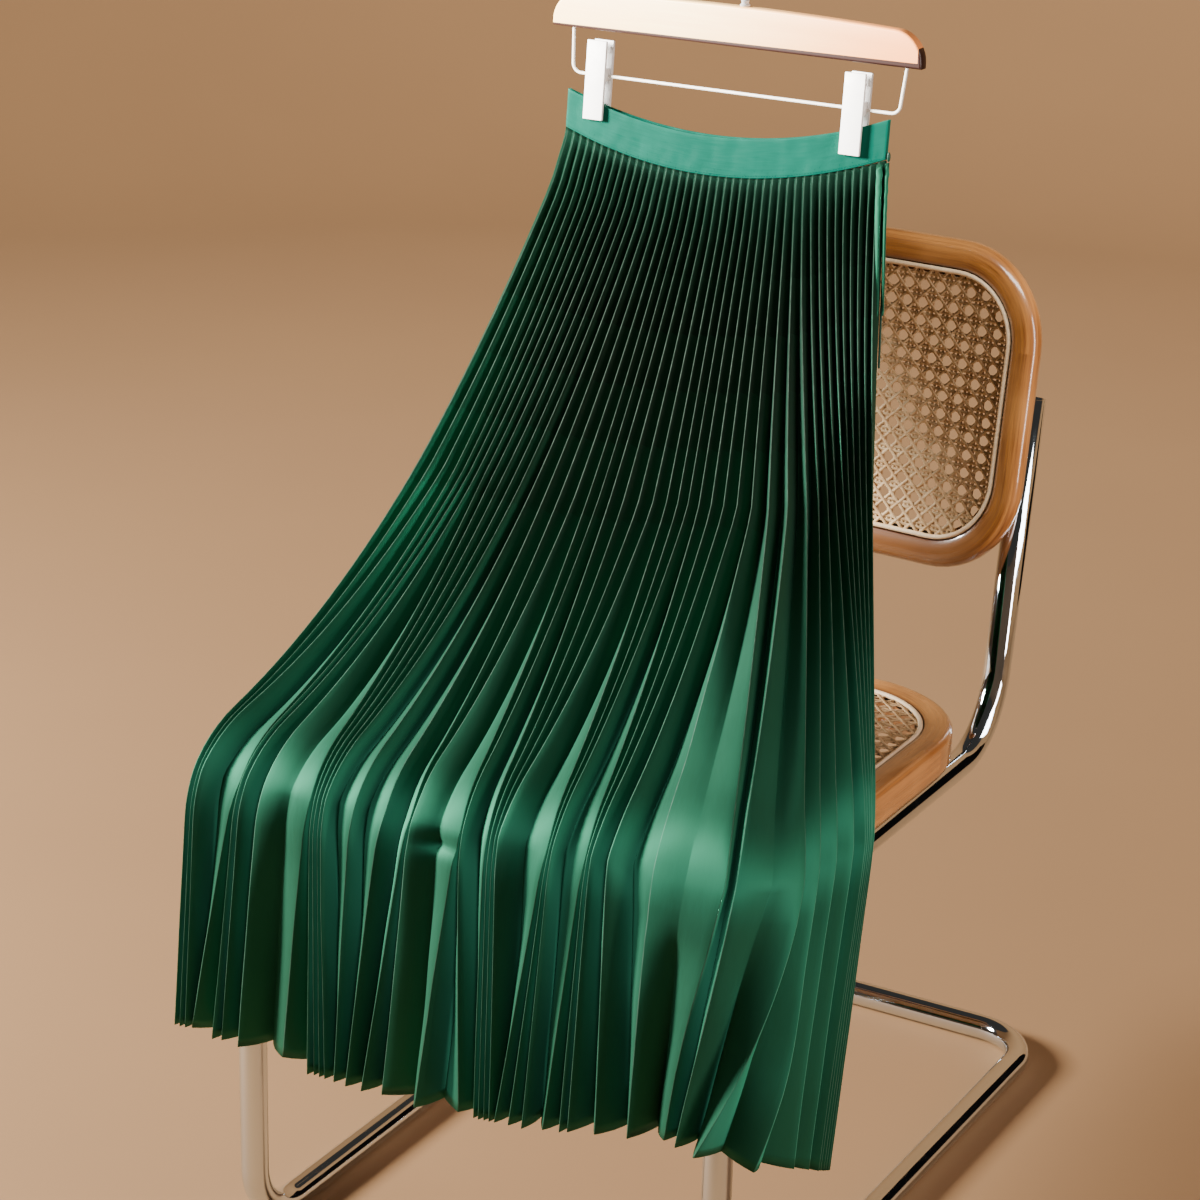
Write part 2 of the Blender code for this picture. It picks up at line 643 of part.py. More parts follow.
def make_seat(finishes, parent):
    bottom = RAIL_Z + TUBE_FLAT + GAP
    middle = (SEAT_FRONT + SEAT_REAR) / 2

    def where(x, y, height):
        return Vector((x, middle + y, bottom + height))

    make_panelled_frame("seat", SEAT_HALF, (SEAT_REAR - SEAT_FRONT) / 2, SEAT_CORNERS,
                        FRAME_WIDTH, SEAT_THICK, where, finishes, parent)


def make_backrest(finishes, parent):
    """The back: curved round the sitter, its ends against the uprights."""
    lean = Matrix.Rotation(-BACK_LEAN, 3, "X")
    upright_y = BACK_Y + (BACK_MIDDLE_Z - RAIL_Z) * math.tan(BACK_LEAN)
    hollow = BACK_HALF_WIDTH ** 2 / (2 * BACK_CURVE)
    behind = TUBE + 0.0055
    middle = Vector((0, upright_y, BACK_MIDDLE_Z))

    def where(x, z, height):
        bow = hollow - x * x / (2 * BACK_CURVE)
        return middle + lean @ Vector((x, bow - behind - height, z))

    make_panelled_frame("back", BACK_HALF_WIDTH, BACK_HALF_HEIGHT, (BACK_CORNER, BACK_CORNER),
                        BACK_FRAME_WIDTH, BACK_THICK, where, finishes, parent)


# ---------------------------------------------------------------- the whole part
def stand_on_origin(parent):
    """Moves the part so that the middle of its base lies on the origin."""
    bpy.context.view_layer.update()
    graph = bpy.context.evaluated_depsgraph_get()
    corners = []
    for obj in parent.children:
        shape = obj.evaluated_get(graph)
        mesh = shape.to_mesh()
        corners += [shape.matrix_world @ v.co for v in mesh.vertices]
        shape.to_mesh_clear()
    low = [min(c[i] for c in corners) for i in range(3)]
    high = [max(c[i] for c in corners) for i in range(3)]
    parent.location = (-(low[0] + high[0]) / 2, -(low[1] + high[1]) / 2, -low[2])
    bpy.context.view_layer.update()


def main():
    for obj in list(bpy.data.objects):
        bpy.data.objects.remove(obj)
    satin = material("green_satin", (0.010, 0.130, 0.075), 0.38)
    band = material("waistband_satin", (0.035, 0.300, 0.200), 0.42)
    pale_wood = material("pale_wood", (0.80, 0.62, 0.47), 0.45)
    white = material("white_plastic", (0.90, 0.90, 0.90), 0.35)
    steel = material("chrome", (0.80, 0.80, 0.80), 0.08, 1.0)
    honey = material("honey_wood", (0.48, 0.22, 0.07), 0.35)
    cane = material("woven_cane", (0.62, 0.46, 0.28), 0.60)

    base = bpy.data.objects.new("skirt_on_chair", None)
    bpy.context.scene.collection.objects.link(base)

    points, normals = middle_surface()
    make_panels(points, normals, satin, base)
    make_waistband(band, base)
    make_zip(points, satin, base)
    make_hanger_bar(pale_wood, base)
    make_hook(steel, base)
    make_wire(white, base)
    make_clips(white, steel, base)
    make_frame(steel, base)
    make_seat((honey, cane), base)
    make_backrest((honey, cane), base)
    stand_on_origin(base)


main()
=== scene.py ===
"""Pleated satin midi skirt, clipped to a hanger and draped over a cane cantilever chair.

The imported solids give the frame.  Here the skirt, its waistband and zip, the hanger with its
clips, and the chair's tube, wood and cane are made again with their finish.
Lengths are in metres, +Z is up and the chair faces -Y.
"""

import math
from collections import namedtuple
from functools import partialmethod

import bmesh
import bpy
import numpy as np
from mathutils import Matrix, Vector, noise


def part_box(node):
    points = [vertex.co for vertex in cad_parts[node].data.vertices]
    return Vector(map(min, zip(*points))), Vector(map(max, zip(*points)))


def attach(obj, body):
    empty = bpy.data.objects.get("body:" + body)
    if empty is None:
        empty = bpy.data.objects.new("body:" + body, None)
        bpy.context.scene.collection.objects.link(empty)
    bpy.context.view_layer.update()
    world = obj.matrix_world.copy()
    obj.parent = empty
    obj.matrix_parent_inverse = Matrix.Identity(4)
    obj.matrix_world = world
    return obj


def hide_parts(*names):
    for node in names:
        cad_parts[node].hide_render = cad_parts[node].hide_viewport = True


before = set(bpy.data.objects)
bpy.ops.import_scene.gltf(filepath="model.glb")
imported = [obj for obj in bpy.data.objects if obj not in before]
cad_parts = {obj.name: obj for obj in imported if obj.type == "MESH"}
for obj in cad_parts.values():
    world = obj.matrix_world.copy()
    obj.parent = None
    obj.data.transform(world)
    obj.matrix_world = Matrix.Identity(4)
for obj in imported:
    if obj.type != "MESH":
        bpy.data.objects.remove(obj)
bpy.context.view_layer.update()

# -------- sizes, in the maker's frame
GAP = 0.0003
CLOTH = 0.0010
SATIN = 0.0005               # real thickness of the cloth
BAND_CLOTH = 0.0024
PLACKET_CLOTH = 0.0008
BAND_HEIGHT = 0.034
BAND_INSET = 0.0003          # from the solid's faces
WAIST_LEFT = (-0.1933, 0.8903)
WAIST_RIGHT = (0.1129, 0.8997)
WAIST_SAG = 0.0283
WAIST_TILT = math.radians(5)
FACE_AT_WAIST = 0.0050
FACE_AT_HEM = 0.0300
LIP_SHARE = 0.74             # of the faces' widening, done by the bend
LEAST_RISE = 0.15
MOST_HEIGHT = 0.56
LAYER_AT_WAIST = 0.0055
LAYER_AT_LIP = 0.0090
SEAM_ROOM = 1.3
LEAD_IN = 0.020
BEND = 0.045
WALL_CLEARANCE = 0.0415
LIP_LEFT = -0.236
LIP_RIGHT_END = 0.135
GIRTH_STEPS = 160
HANG_POINTS = 60
LEVEL_REACH = 3
CREASE = 0.0007              # half width of a pressed fold
BOW = (0.045, 0.120)         # of a face, over its width, in the hang and past the bend
UNEVEN = 0.0006              # how far the folds wander
STITCH_HEIGHT, STITCH_PITCH = 0.0016, 0.0025     # of the waistband's lower seam
PLACKET_END = 0.24           # section at which the zip ends
KNIFE = 0.20                 # how far the outer folds lean left in the hang, of a pleat

# The pleats stand closer and duller towards the band: gloss down to each section
Grade = namedtuple("Grade", "section gloss")
GRADES = (Grade(0.13, 0.04), Grade(0.22, 0.15), Grade(0.31, 0.35), Grade(0.40, 0.55),
          Grade(0.50, 0.80), Grade(2.01, 1.0))

# The placket's two edges: from the seam to each side, and out from the cloth
Strip = namedtuple("Strip", "inner outer lift")
PLACKET = (Strip(-0.0060, -0.0004, 0.0048), Strip(0.0006, 0.0042, 0.0020))

# Places where the cloth is pushed in: fold, section, reach in folds and sections, depth
Dent = namedtuple("Dent", "fold section folds sections depth")
DENTS = (Dent(30.0, 0.985, 0.8, 0.026, 0.0055), Dent(32.2, 1.065, 0.8, 0.026, 0.0060))

Drape = namedtuple("Drape", "girth sag lip_z flare_x flare_y hem_z")
DRAPE = (
    Drape(0.00, 0.064, 0.455, -0.016, -0.001, 0.224),
    Drape(0.30, 0.055, 0.461, -0.009, -0.001, 0.214),
    Drape(0.50, 0.042, 0.468, 0.000, -0.001, 0.229),
    Drape(0.68, 0.028, 0.474, 0.000, -0.001, 0.255),
    Drape(0.78, 0.020, 0.468, 0.002, -0.008, 0.230),
    Drape(1.00, 0.016, 0.456, -0.008, -0.042, 0.172),
)

# Ground covered by the pleats, left to right, as shares of each line's girth
Pleats = namedtuple("Pleats", "count hang lip_left lip_right hem_left hem_right")
PLEAT_GROUPS = [Pleats(*row) for row in (
    (2, 19, 2, 2, 2.3, 2.3), (1, 20, 2, 11, 2.3, 2.3), (1, 13, 23, 2, 2.3, 21),
    (1, 9, 2, 2, 3, 3), (1, 10, 2, 9, 4, 12), (1, 11, 8, 23, 5, 16), (1, 10, 23, 2, 22, 25),
    (1, 14, 2, 2, 6, 2.5), (3, 14, 2, 2, 2.5, 2.5), (1, 22, 23, 2, 6, 6), (1, 20, 23, 11, 5, 8),
    (1, 21, 15, 2, 6, 9), (1, 21, 2, 20, 7, 26), (1, 15, 23, 2, 9, 12), (1, 13, 2, 5, 23, 12),
    (1, 18, 16, 2, 4, 2.3), (2, 20, 2, 2, 2.3, 2.3), (1, 20, 2, 17, 2.3, 2.3),
    (1, 16, 23, 2, 2.3, 6), (1, 13, 2, 2, 6, 6), (1, 13, 2, 2, 6, 3), (1, 16, 23, 2, 14, 10),
    (1, 16, 2, 2, 6, 3.3), (1, 16, 2, 7, 3.3, 15), (1, 16, 8, 12, 9.5, 18),
    (1, 16, 22.5, 27, 12, 14), (1, 19, 27, 3, 17.5, 6), (1, 22, 3, 24, 6, 5),
    (1, 22, 22, 14, 6, 14), (1, 17, 16, 14, 18, 22), (1, 15, 16, 15, 24, 22),
    (1, 15, 15, 13, 20, 16), (5, 11, 2.2, 2.2, 4.7, 4.7), (1, 13, 3.8, 3.8, 6, 6),
)]
PLEATS = sum(group.count for group in PLEAT_GROUPS)
STATIONS = (0, 0.5, 1, 2)    # band, hang, bend over the seat, hem

HANGER_Y = 0.450
BAR_LEFT, BAR_RIGHT = -0.209, 0.140
BAR_BOTTOM, BAR_HEIGHT = 0.9780, 0.0340
BAR_THICK = 0.012
BAR_END_RADIUS = 0.026
BAR_SHOULDER = 0.0035        # the top is this much lower at its ends
ROD_Z = 0.9385
ROD_LEFT, ROD_RIGHT = -0.1905, 0.1215
ROD_RADIUS = 0.0014
ROD_BEND = 0.008
WIRE_SPLAY = 0.004
HOOK_X = -0.0256
HOOK_RADIUS = 0.0018
HOOK_STEM, HOOK_STRAIGHT = 0.030, 0.024
HOOK_BOW = 0.021
HOOK_TURN = math.radians(-245)
CLIP_X = (-0.1645, 0.0815)
CLIP_WIDTH = 0.019
CLIP_ABOVE, CLIP_BELOW = 0.030, 0.038
CLIP_PLATE, CLIP_OPEN = 0.003, 0.0049
BARREL_RADIUS, BARREL_INSET = 0.0046, 0.002
SPRING_TURNS, SPRING_WIRE = 7, 0.0006

TUBE = 0.012
TUBE_WALL = 0.0015
TUBE_FLAT = 0.011413         # radius to the flats of the faceted solid
HALF_WIDTH = 0.220
RAIL_Z = 0.3879
REAR_Y = 0.6694
BACK_Y = 0.4936
BACK_LEAN = math.radians(8.8)
UPRIGHT_TOP = 0.690
BACK_BEND, FRONT_BEND, FOOT_BEND, CORNER_BEND = 0.075, 0.075, 0.055, 0.055
SEAT_FRONT, SEAT_REAR = -0.012, 0.474
SEAT_HALF = 0.231
SEAT_THICK = 0.033
SEAT_CORNERS = (0.110, 0.060)     # rear and front, in plan
FRAME_WIDTH = 0.025          # of the seat's and back's wood
LEDGE = 0.007                # of the wood under the cane
BACK_HALF_WIDTH, BACK_HALF_HEIGHT = 0.233, 0.143
BACK_MIDDLE_Z = 0.674
BACK_CORNERS = (0.085, 0.085)
BACK_THICK = 0.026
BACK_CURVE = 0.90
CANE_PITCH = 0.0154
CANE_STRAND, CANE_THICK = 0.0025, 0.0005
CANE_PAIR = 0.0020           # from the middle of a pair of strands to either
CANE_LIFT = (0.0, 0.0006, 0.0011, 0.0014)        # upright, level and two slanting sets
CANE_WAVE = 0.0003
CANE_SUNK = 0.0042           # below the wood's face
SPLINE_RADIUS = 0.0021
HOLE_PITCH = 0.0085          # of the holes under the cane's edge

# From the maker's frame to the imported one, read off the bar behind the chair
REAR_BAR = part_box("rear_bar")
SHIFT = Vector(((REAR_BAR[0].x + REAR_BAR[1].x) / 2,
                (REAR_BAR[0].y + REAR_BAR[1].y) / 2 - REAR_Y, 0))


# -------- node helpers
class Value:
    """An output in a node tree: reckoning with it adds maths nodes."""

    def __init__(self, tree, socket):
        self.tree, self.socket = tree, socket

    def maths(self, operation, other=0.0):
        return node(self.tree, "Math", {0: self, 1: other}, operation=operation)[0]

    __add__ = partialmethod(maths, "ADD")
    __sub__ = partialmethod(maths, "SUBTRACT")
    __mul__ = partialmethod(maths, "MULTIPLY")
    __lt__ = partialmethod(maths, "LESS_THAN")
    __gt__ = partialmethod(maths, "GREATER_THAN")
    __abs__ = partialmethod(maths, "ABSOLUTE")


def feed(socket, value):
    """Links a Value to the socket, or sets a constant."""
    if isinstance(value, Value):
        value.tree.links.new(value.socket, socket)
    else:
        socket.default_value = value


def node(tree, kind, inputs, **settings):
    """A new node with its settings and inputs: returns its outputs."""
    made = tree.nodes.new(f"ShaderNode{kind}")
    for key, setting in settings.items():
        setattr(made, key, setting)
    for key, value in inputs.items():
        feed(made.inputs[key], value)
    return [Value(tree, socket) for socket in made.outputs]


def ranged(value, low, high, start=0.0, end=1.0, shape="LINEAR"):
    """Maps a value from low..high to start..end, held at both ends."""
    inputs = {"Value": value, "From Min": low, "From Max": high, "To Min": start, "To Max": end}
    return node(value.tree, "MapRange", inputs, interpolation_type=shape)[0]


def eased(value, low, high, start=0.0, end=1.0):
    """The same, with soft ends."""
    return ranged(value, low, high, start, end, "SMOOTHSTEP")


def noise_of(vector, scale, detail, distortion=0.0):
    return node(vector.tree, "TexNoise", {"Vector": vector, "Scale": scale, "Detail": detail,
                                          "Distortion": distortion})[0]


def noise_mask(vector, scale, detail=3.0, low=0.35, high=0.65):
    """A noise pattern spread to the range 0 to 1."""
    return ranged(noise_of(vector, scale, detail), low, high)


def stretched(vector, scale):
    """The vector with its axes scaled apart, so that a pattern runs in streaks."""
    return node(vector.tree, "Mapping", {"Vector": vector, "Scale": scale})[0]


def blended(mask, first, second):
    """Mixes two colours, each given as a tuple or as a Value."""
    first, second = ((*c, 1.0) if isinstance(c, tuple) else c for c in (first, second))
    return node(mask.tree, "Mix", {0: mask, 6: first, 7: second}, data_type="RGBA")[2]


def axes(vector):
    return node(vector.tree, "SeparateXYZ", {0: vector})


def raised(height, strength, distance):
    """A bump's normal for a height."""
    return node(height.tree, "Bump", {"Height": height, "Strength": strength,
                                      "Distance": distance})[0]


def new_finish(name):
    """A new material, with the place in its object and on the object's own map."""
    made = bpy.data.materials.new(name)
    made.use_nodes = True
    tree = made.node_tree
    place = tree.nodes.new("ShaderNodeTexCoord").outputs
    return made, Value(tree, place["Object"]), Value(tree, place["UV"])


def dressed(made, roughness, **inputs):
    """The material with its shader's inputs set; in their names _ stands for a space."""
    shader = made.node_tree.nodes["Principled BSDF"]
    for key, value in {"Roughness": roughness, **inputs}.items():
        feed(shader.inputs[key.replace("_", " ")], value)
    return made


def streak_group():
    """Streaks along X of the vector: wood grain and drawn yarn."""
    group = bpy.data.node_groups.new("streaks", "ShaderNodeTree")
    for name, way, kind in (("Vector", "INPUT", "Vector"), ("Scale", "INPUT", "Float"),
                            ("Mask", "OUTPUT", "Float"), ("Height", "OUTPUT", "Float")):
        group.interface.new_socket(name, in_out=way, socket_type=f"NodeSocket{kind}")
    inside = group.nodes.new("NodeGroupInput").outputs
    outside = group.nodes.new("NodeGroupOutput").inputs
    scale = Value(group, inside["Scale"])
    run = stretched(Value(group, inside["Vector"]), (0.05, 1.0, 1.0))
    warp = noise_of(run, scale, 4.0, 0.6)
    fine = noise_of(stretched(run, (1.0, 5.0, 5.0)), scale, 2.0)
    feed(outside["Mask"], ranged(warp * 0.65 + fine * 0.35, 0.36, 0.64))
    feed(outside["Height"], fine)
    return group


STREAKS = streak_group()


def streaks(vector, scale):
    """The streak group in a material: its mask and height."""
    return node(vector.tree, "Group", {"Vector": vector, "Scale": scale}, node_tree=STREAKS)


# -------- finishes
def satin_finish(name, gloss):
    """Green satin: gloss drawn out across the warp, painted shade where the pleats stand close.

    The cloth's own map runs across in metres from the nearest outer fold and down in metres.
    """
    made, place, cloth = new_finish(name)
    from_fold, down, _ = axes(cloth)
    x = axes(place)[0]
    warp = node(cloth.tree, "Mapping", {"Vector": cloth, "Rotation": (0, 0, math.pi / 2)})[0]
    mask, height = streaks(warp, 1400.0)
    colour = blended(noise_mask(place, 9.0, 2.0), (0.011, 0.046, 0.026), (0.014, 0.060, 0.034))
    colour = blended(mask * 0.30, colour, (0.016, 0.095, 0.056))
    # Painted shade: the hang darkened where the pleats stand close, less at the sides, greyer near
    # the band
    shade_across = eased(x, 0.02, 0.24, 1.0, 0.20) * eased(x, -0.215, -0.14, 0.15, 1.0)
    near_band = eased(down, 0.02, 0.22)
    dark = blended(near_band, (0.0090, 0.0310, 0.0190), (0.0150, 0.0230, 0.0170))
    colour = blended(eased(down, 0.30, 0.60, 0.96, 0.0) * shade_across, colour, dark)
    # Painted highlight: a pale line along each outer fold, broken up by noise, fainter near the
    # band and lower down
    highlight_breaks = noise_mask(stretched(place, (1.0, 1.0, 0.35)), 160.0)
    fold = eased(from_fold, 0.0002, 0.0006, 1.0, 0.0) * eased(down, 0.30, 0.72, 0.62, 0.4)
    fold = fold * ranged(highlight_breaks, 0, 1, 0.45, 1.0) * eased(down, 0.02, 0.20, 0.35, 1.0)
    dulled = eased(down, 0.34, 0.58, 0.30, 0.72) - eased(down, 0.72, 0.88, 0.0, 0.14)
    weft = node(cloth.tree, "Tangent", {}, direction_type="UV_MAP", uv_map="UVMap")[0]
    return dressed(made, dulled + mask * 0.06, Base_Color=blended(fold, colour, (0.14, 0.20, 0.16)),
                   Anisotropic=0.90, Tangent=weft, IOR=1.54, Specular_IOR_Level=gloss,
                   Specular_Tint=(0.06, 0.95, 0.50, 1.0), Normal=raised(height, 0.06, 0.0004))


def band_finish():
    """The waistband's flat satin, with a line of stitches above its lower edge."""
    made, place, cloth = new_finish("waistband_satin")
    run, up, _ = axes(cloth)
    mask, height = streaks(cloth, 900.0)
    colour = blended(noise_mask(place, 22.0), (0.003, 0.135, 0.088), (0.005, 0.170, 0.112))
    colour = blended(mask * 0.35, colour, (0.008, 0.200, 0.140))
    flecks = noise_mask(stretched(cloth, (1.0, 0.6, 1.0)), 420.0, 2.0, 0.60, 0.72)
    colour = blended(flecks * ranged(up, 0.012, 0.002, 0.0, 0.55), colour, (0.002, 0.060, 0.040))
    line = ranged(abs(up - STITCH_HEIGHT), 0.0002, 0.0005, 1.0, 0.0)
    stitch = line * ((run * (1 / STITCH_PITCH)).maths("FRACT") < 0.72)
    return dressed(made, ranged(mask, 0, 1, 0.38, 0.50), Specular_IOR_Level=0.3,
                   Specular_Tint=(0.2, 1.0, 0.75, 1.0),
                   Base_Color=blended(stitch * 0.5, colour, (0.003, 0.080, 0.055)),
                   Normal=raised(height * 0.3 - stitch, 0.25, 0.0004))


def beech_finish():
    """Pale varnished beech, with painted shade: rosier to the right, dark under its lower edge and
    end.
    """
    made, place, _ = new_finish("pale_beech")
    x, _, z = axes(place)
    mask, height = streaks(place, 260.0)
    left, right = BAR_LEFT + SHIFT.x, BAR_RIGHT + SHIFT.x
    # Painted shade: the bar rosier towards its right end, away from the light
    colour = blended(eased(x, left + 0.10, right), (0.95, 0.68, 0.30), (0.92, 0.33, 0.09))
    colour = blended(mask * 0.22, colour, (0.76, 0.32, 0.12))
    # Painted shade: dark along the lower edge and the right end, which face away from the light
    foot = z < ranged(x, left, right, BAR_BOTTOM + 0.0024, BAR_BOTTOM + 0.0050)
    shaded_rims = foot.maths("MAXIMUM", x > right - 0.0032)
    return dressed(made, 0.42, Coat_Weight=0.25, Coat_Roughness=0.25,
                   Base_Color=blended(shaded_rims, colour, (0.022, 0.005, 0.003)),
                   Normal=raised(height, 0.12, 0.0003))


def honey_finish():
    """Honey bentwood under gloss varnish, painted shade on its inner bevel and in the cane's holes.

    Its map runs along the bent length in metres and across its section from 0 to 1.
    """
    made, place, length = new_finish("honey_bentwood")
    run, section, _ = axes(length)
    z = axes(place)[2]
    grain = node(place.tree, "CombineXYZ", {"X": run, "Y": section * 0.12})[0]
    mask, height = streaks(grain, 170.0)
    colour = blended(mask, (0.56, 0.235, 0.060), (0.21, 0.070, 0.017))
    colour = blended(noise_mask(place, 14.0) * 0.40, colour, (0.74, 0.36, 0.11))
    # Painted shade: the back's low rail darker, as it faces down
    low_rail_shade = eased(z, 0.545, 0.585, 0.82, 0.0) * ranged(z, 0.46, 0.48)
    colour = blended(low_rail_shade, colour, (0.115, 0.036, 0.009))
    # Painted shade on the inner bevel, down towards the cane
    colour = blended(eased(section, 0.08, 0.17, 0.85, 0.0), colour, (0.085, 0.024, 0.007))
    # Painted shade: dark spots for the holes under the cane's edge
    from_hole = abs((run * (1 / HOLE_PITCH)).maths("FRACT") - 0.5)
    hole_shade = (from_hole < 0.27) * (section < 0.045)
    return dressed(made, ranged(mask, 0, 1, 0.22, 0.34), Coat_Weight=1.0, Coat_Roughness=0.10,
                   Base_Color=blended(hole_shade, colour, (0.010, 0.004, 0.002)),
                   Normal=raised(height, 0.08, 0.0003))


def cane_finish(name, light, dark, scale):
    """Split cane: strands with fibres and darker patches."""
    made, place, _ = new_finish(name)
    fibres = noise_mask(place, 900.0, 2.0)
    colour = blended(noise_mask(place, scale, 3.0, 0.38, 0.62), light, dark)
    colour = blended(fibres * 0.35, colour, tuple(0.55 * c for c in dark))
    return dressed(made, 0.60, Coat_Weight=0.1, Coat_Roughness=0.4, Base_Color=colour,
                   Normal=raised(fibres, 0.3, 0.0003))


def chrome_finish():
    """Bright chrome with the faintest ripple and rub marks."""
    made, place, _ = new_finish("bright_chrome")
    rubbed = noise_mask(place, 70.0, 3.0, 0.5, 0.8)
    return dressed(made, ranged(rubbed, 0, 1, 0.05, 0.13), Metallic=1.0,
                   Base_Color=(0.72, 0.80, 0.88, 1.0),
                   Normal=raised(noise_mask(place, 16.0, 1.0), 0.05, 0.001))


def painted_finish(name, colour, roughness, metallic=0.0, shade=0.85, scale=120.0):
    """A moulded, coated or drawn surface with faint mottling and scuffs."""
    made, place, _ = new_finish(name)
    mottle = noise_mask(place, scale, 4.0)
    return dressed(made, ranged(mottle, 0, 1, roughness, roughness + 0.1), Metallic=metallic,
                   Base_Color=blended(mottle, colour, tuple(shade * c for c in colour)),
                   Normal=raised(mottle, 0.05, 0.0004))


def paper_finish():
    """The studio's warm paper, with painted shade in front of the skirt."""
    made, place, _ = new_finish("studio_paper")
    colour = blended(noise_mask(place, 2.0), (0.260, 0.145, 0.062), (0.252, 0.140, 0.060))
    # Painted shade on the paper in front of the skirt
    ahead_shade = eased(axes(place)[1], -0.55, -1.05, 0.0, 0.85)
    return dressed(made, 0.9, Base_Color=blended(ahead_shade, colour, (0.020, 0.014, 0.010)))


# -------- piece helpers
def placed(name, data, *finishes):
    """A new object in the scene, with its finishes."""
    for one in finishes:
        data.materials.append(one)
    made = bpy.data.objects.new(name, data)
    bpy.context.scene.collection.objects.link(made)
    return made


def add_piece(name, form, finishes, nodes=(), sharp=40):
    """An object on the one body, in its finishes, standing for its CAD nodes.

    Its form is a mesh, or a bmesh to be turned outwards and smoothed.
    """
    if isinstance(form, bmesh.types.BMesh):
        form = to_mesh(name, form, sharp)
    piece = placed(name, form, *finishes)
    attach(piece, "root")
    if nodes:
        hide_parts(*nodes)
    return piece


def smooth_mesh(name, bm):
    mesh = bpy.data.meshes.new(name)
    bm.to_mesh(mesh)
    bm.free()
    mesh.shade_smooth()
    return mesh


def to_mesh(name, bm, sharp):
    """Turns faces outwards, smooth but for edges sharper than the angle in degrees."""
    bmesh.ops.recalc_face_normals(bm, faces=bm.faces)
    mesh = smooth_mesh(name, bm)
    mesh.set_sharp_from_angle(angle=math.radians(sharp))
    return mesh


def thicken(piece, thickness, offset=0):
    """Gives a piece of sheet its wall, about its surface or inwards from it."""
    wall = piece.modifiers.new("wall", "SOLIDIFY")
    wall.thickness = thickness
    wall.offset = offset
    return piece


def shaped_grid(columns, rows, where, tile=None, weld=False):
    """A grid whose points are set by where(u, v), its map by tile(u, v); u and v run 0 to 1."""
    bm = bmesh.new()
    layer = bm.loops.layers.uv.new("UVMap")
    bmesh.ops.create_grid(bm, x_segments=columns, y_segments=rows, size=1, calc_uvs=True)
    if tile:
        for face in bm.faces:
            for loop in face.loops:
                loop[layer].uv = tile(*loop[layer].uv)
    for vert in bm.verts:
        vert.co = where((vert.co.x + 1) / 2, (vert.co.y + 1) / 2)
    if weld:
        bmesh.ops.remove_doubles(bm, verts=bm.verts, dist=1e-6)
    return bm


def rounded_block(bm, size, centre, bevel):
    """Adds a box with rounded edges."""
    matrix = Matrix.Translation(centre) @ Matrix.Diagonal((*size, 1))
    made = bmesh.ops.create_cube(bm, size=1, matrix=matrix)
    edges = list({e for v in made["verts"] for e in v.link_edges})
    bmesh.ops.bevel(bm, geom=edges, offset=bevel, offset_type="OFFSET", segments=3,
                    profile=0.5, affect="EDGES", material=-1)


def round_bar(points, radius, level=4, caps=True):
    """A smooth round bar along the points."""
    curve = bpy.data.curves.new("bar", "CURVE")
    curve.dimensions = "3D"
    curve.bevel_depth = radius
    curve.bevel_resolution = level
    curve.use_fill_caps = caps
    spline = curve.splines.new("POLY")
    spline.points.add(len(points) - 1)
    for slot, point in zip(spline.points, points):
        slot.co = (*(Vector(point) + SHIFT), 1.0)
    carrier = placed("bar", curve)
    graph = bpy.context.evaluated_depsgraph_get()
    mesh = bpy.data.meshes.new_from_object(carrier.evaluated_get(graph))
    bpy.data.objects.remove(carrier)
    bm = bmesh.new()
    bm.from_mesh(mesh)
    bpy.data.meshes.remove(mesh)
    bmesh.ops.remove_doubles(bm, verts=bm.verts, dist=1e-6)
    return bm


def arc(centre, start, axis, angle, steps):
    """Points turned about the centre from centre + start."""
    centre, start = Vector(centre), Vector(start)
    return [centre + Matrix.Rotation(angle * i / steps, 3, axis) @ start
            for i in range(steps + 1)]


def lathed(profile, foot, steps):
    """A profile of radii and heights turned once round the upright line through a point."""
    def where(u, v):
        radius, height = profile[round(v * (len(profile) - 1))]
        angle = 2 * math.pi * u
        return foot + Vector((radius * math.cos(angle), radius * math.sin(angle), height))

    return shaped_grid(steps, len(profile) - 1, where, weld=True)


def lengths(path):
    """The distance along a path to each of its points."""
    return np.concatenate([[0.0], np.cumsum(np.linalg.norm(np.diff(path, axis=0), axis=1))])


def unit(vectors):
    return vectors / np.linalg.norm(vectors, axis=-1, keepdims=True)


# -------- the skirt's form
def drape(girth):
    """The drape's measures at a fraction of the girth."""
    columns = np.transpose(DRAPE)
    return Drape(*(np.interp(girth, columns[0], column) for column in columns))


def waist_point(across):
    """The waistband's lower edge, for a fraction of the way from left to right."""
    (x0, z0), (x1, z1) = WAIST_LEFT, WAIST_RIGHT
    z = z0 + (z1 - z0) * across - WAIST_SAG * 4 * across * (1 - across)
    y = HANGER_Y - (ROD_Z - z) * math.tan(WAIST_TILT)
    return np.array([x0 + (x1 - x0) * across, y, z])


WAIST_DOWN = np.array([0.0, -math.sin(WAIST_TILT), -math.cos(WAIST_TILT)])


def lip_plan(girth):
    """Plan position of the bend: along the seat's front, round its corner, along its side."""
    front = HALF_WIDTH - LIP_LEFT
    corner = WALL_CLEARANCE * math.pi / 2
    along = girth * (front + corner + LIP_RIGHT_END)
    if along < front:
        return LIP_LEFT + along, -WALL_CLEARANCE
    if along < front + corner:
        angle = (along - front) / WALL_CLEARANCE
        return (HALF_WIDTH + WALL_CLEARANCE * math.sin(angle), -WALL_CLEARANCE * math.cos(angle))
    return HALF_WIDTH + WALL_CLEARANCE, along - front - corner


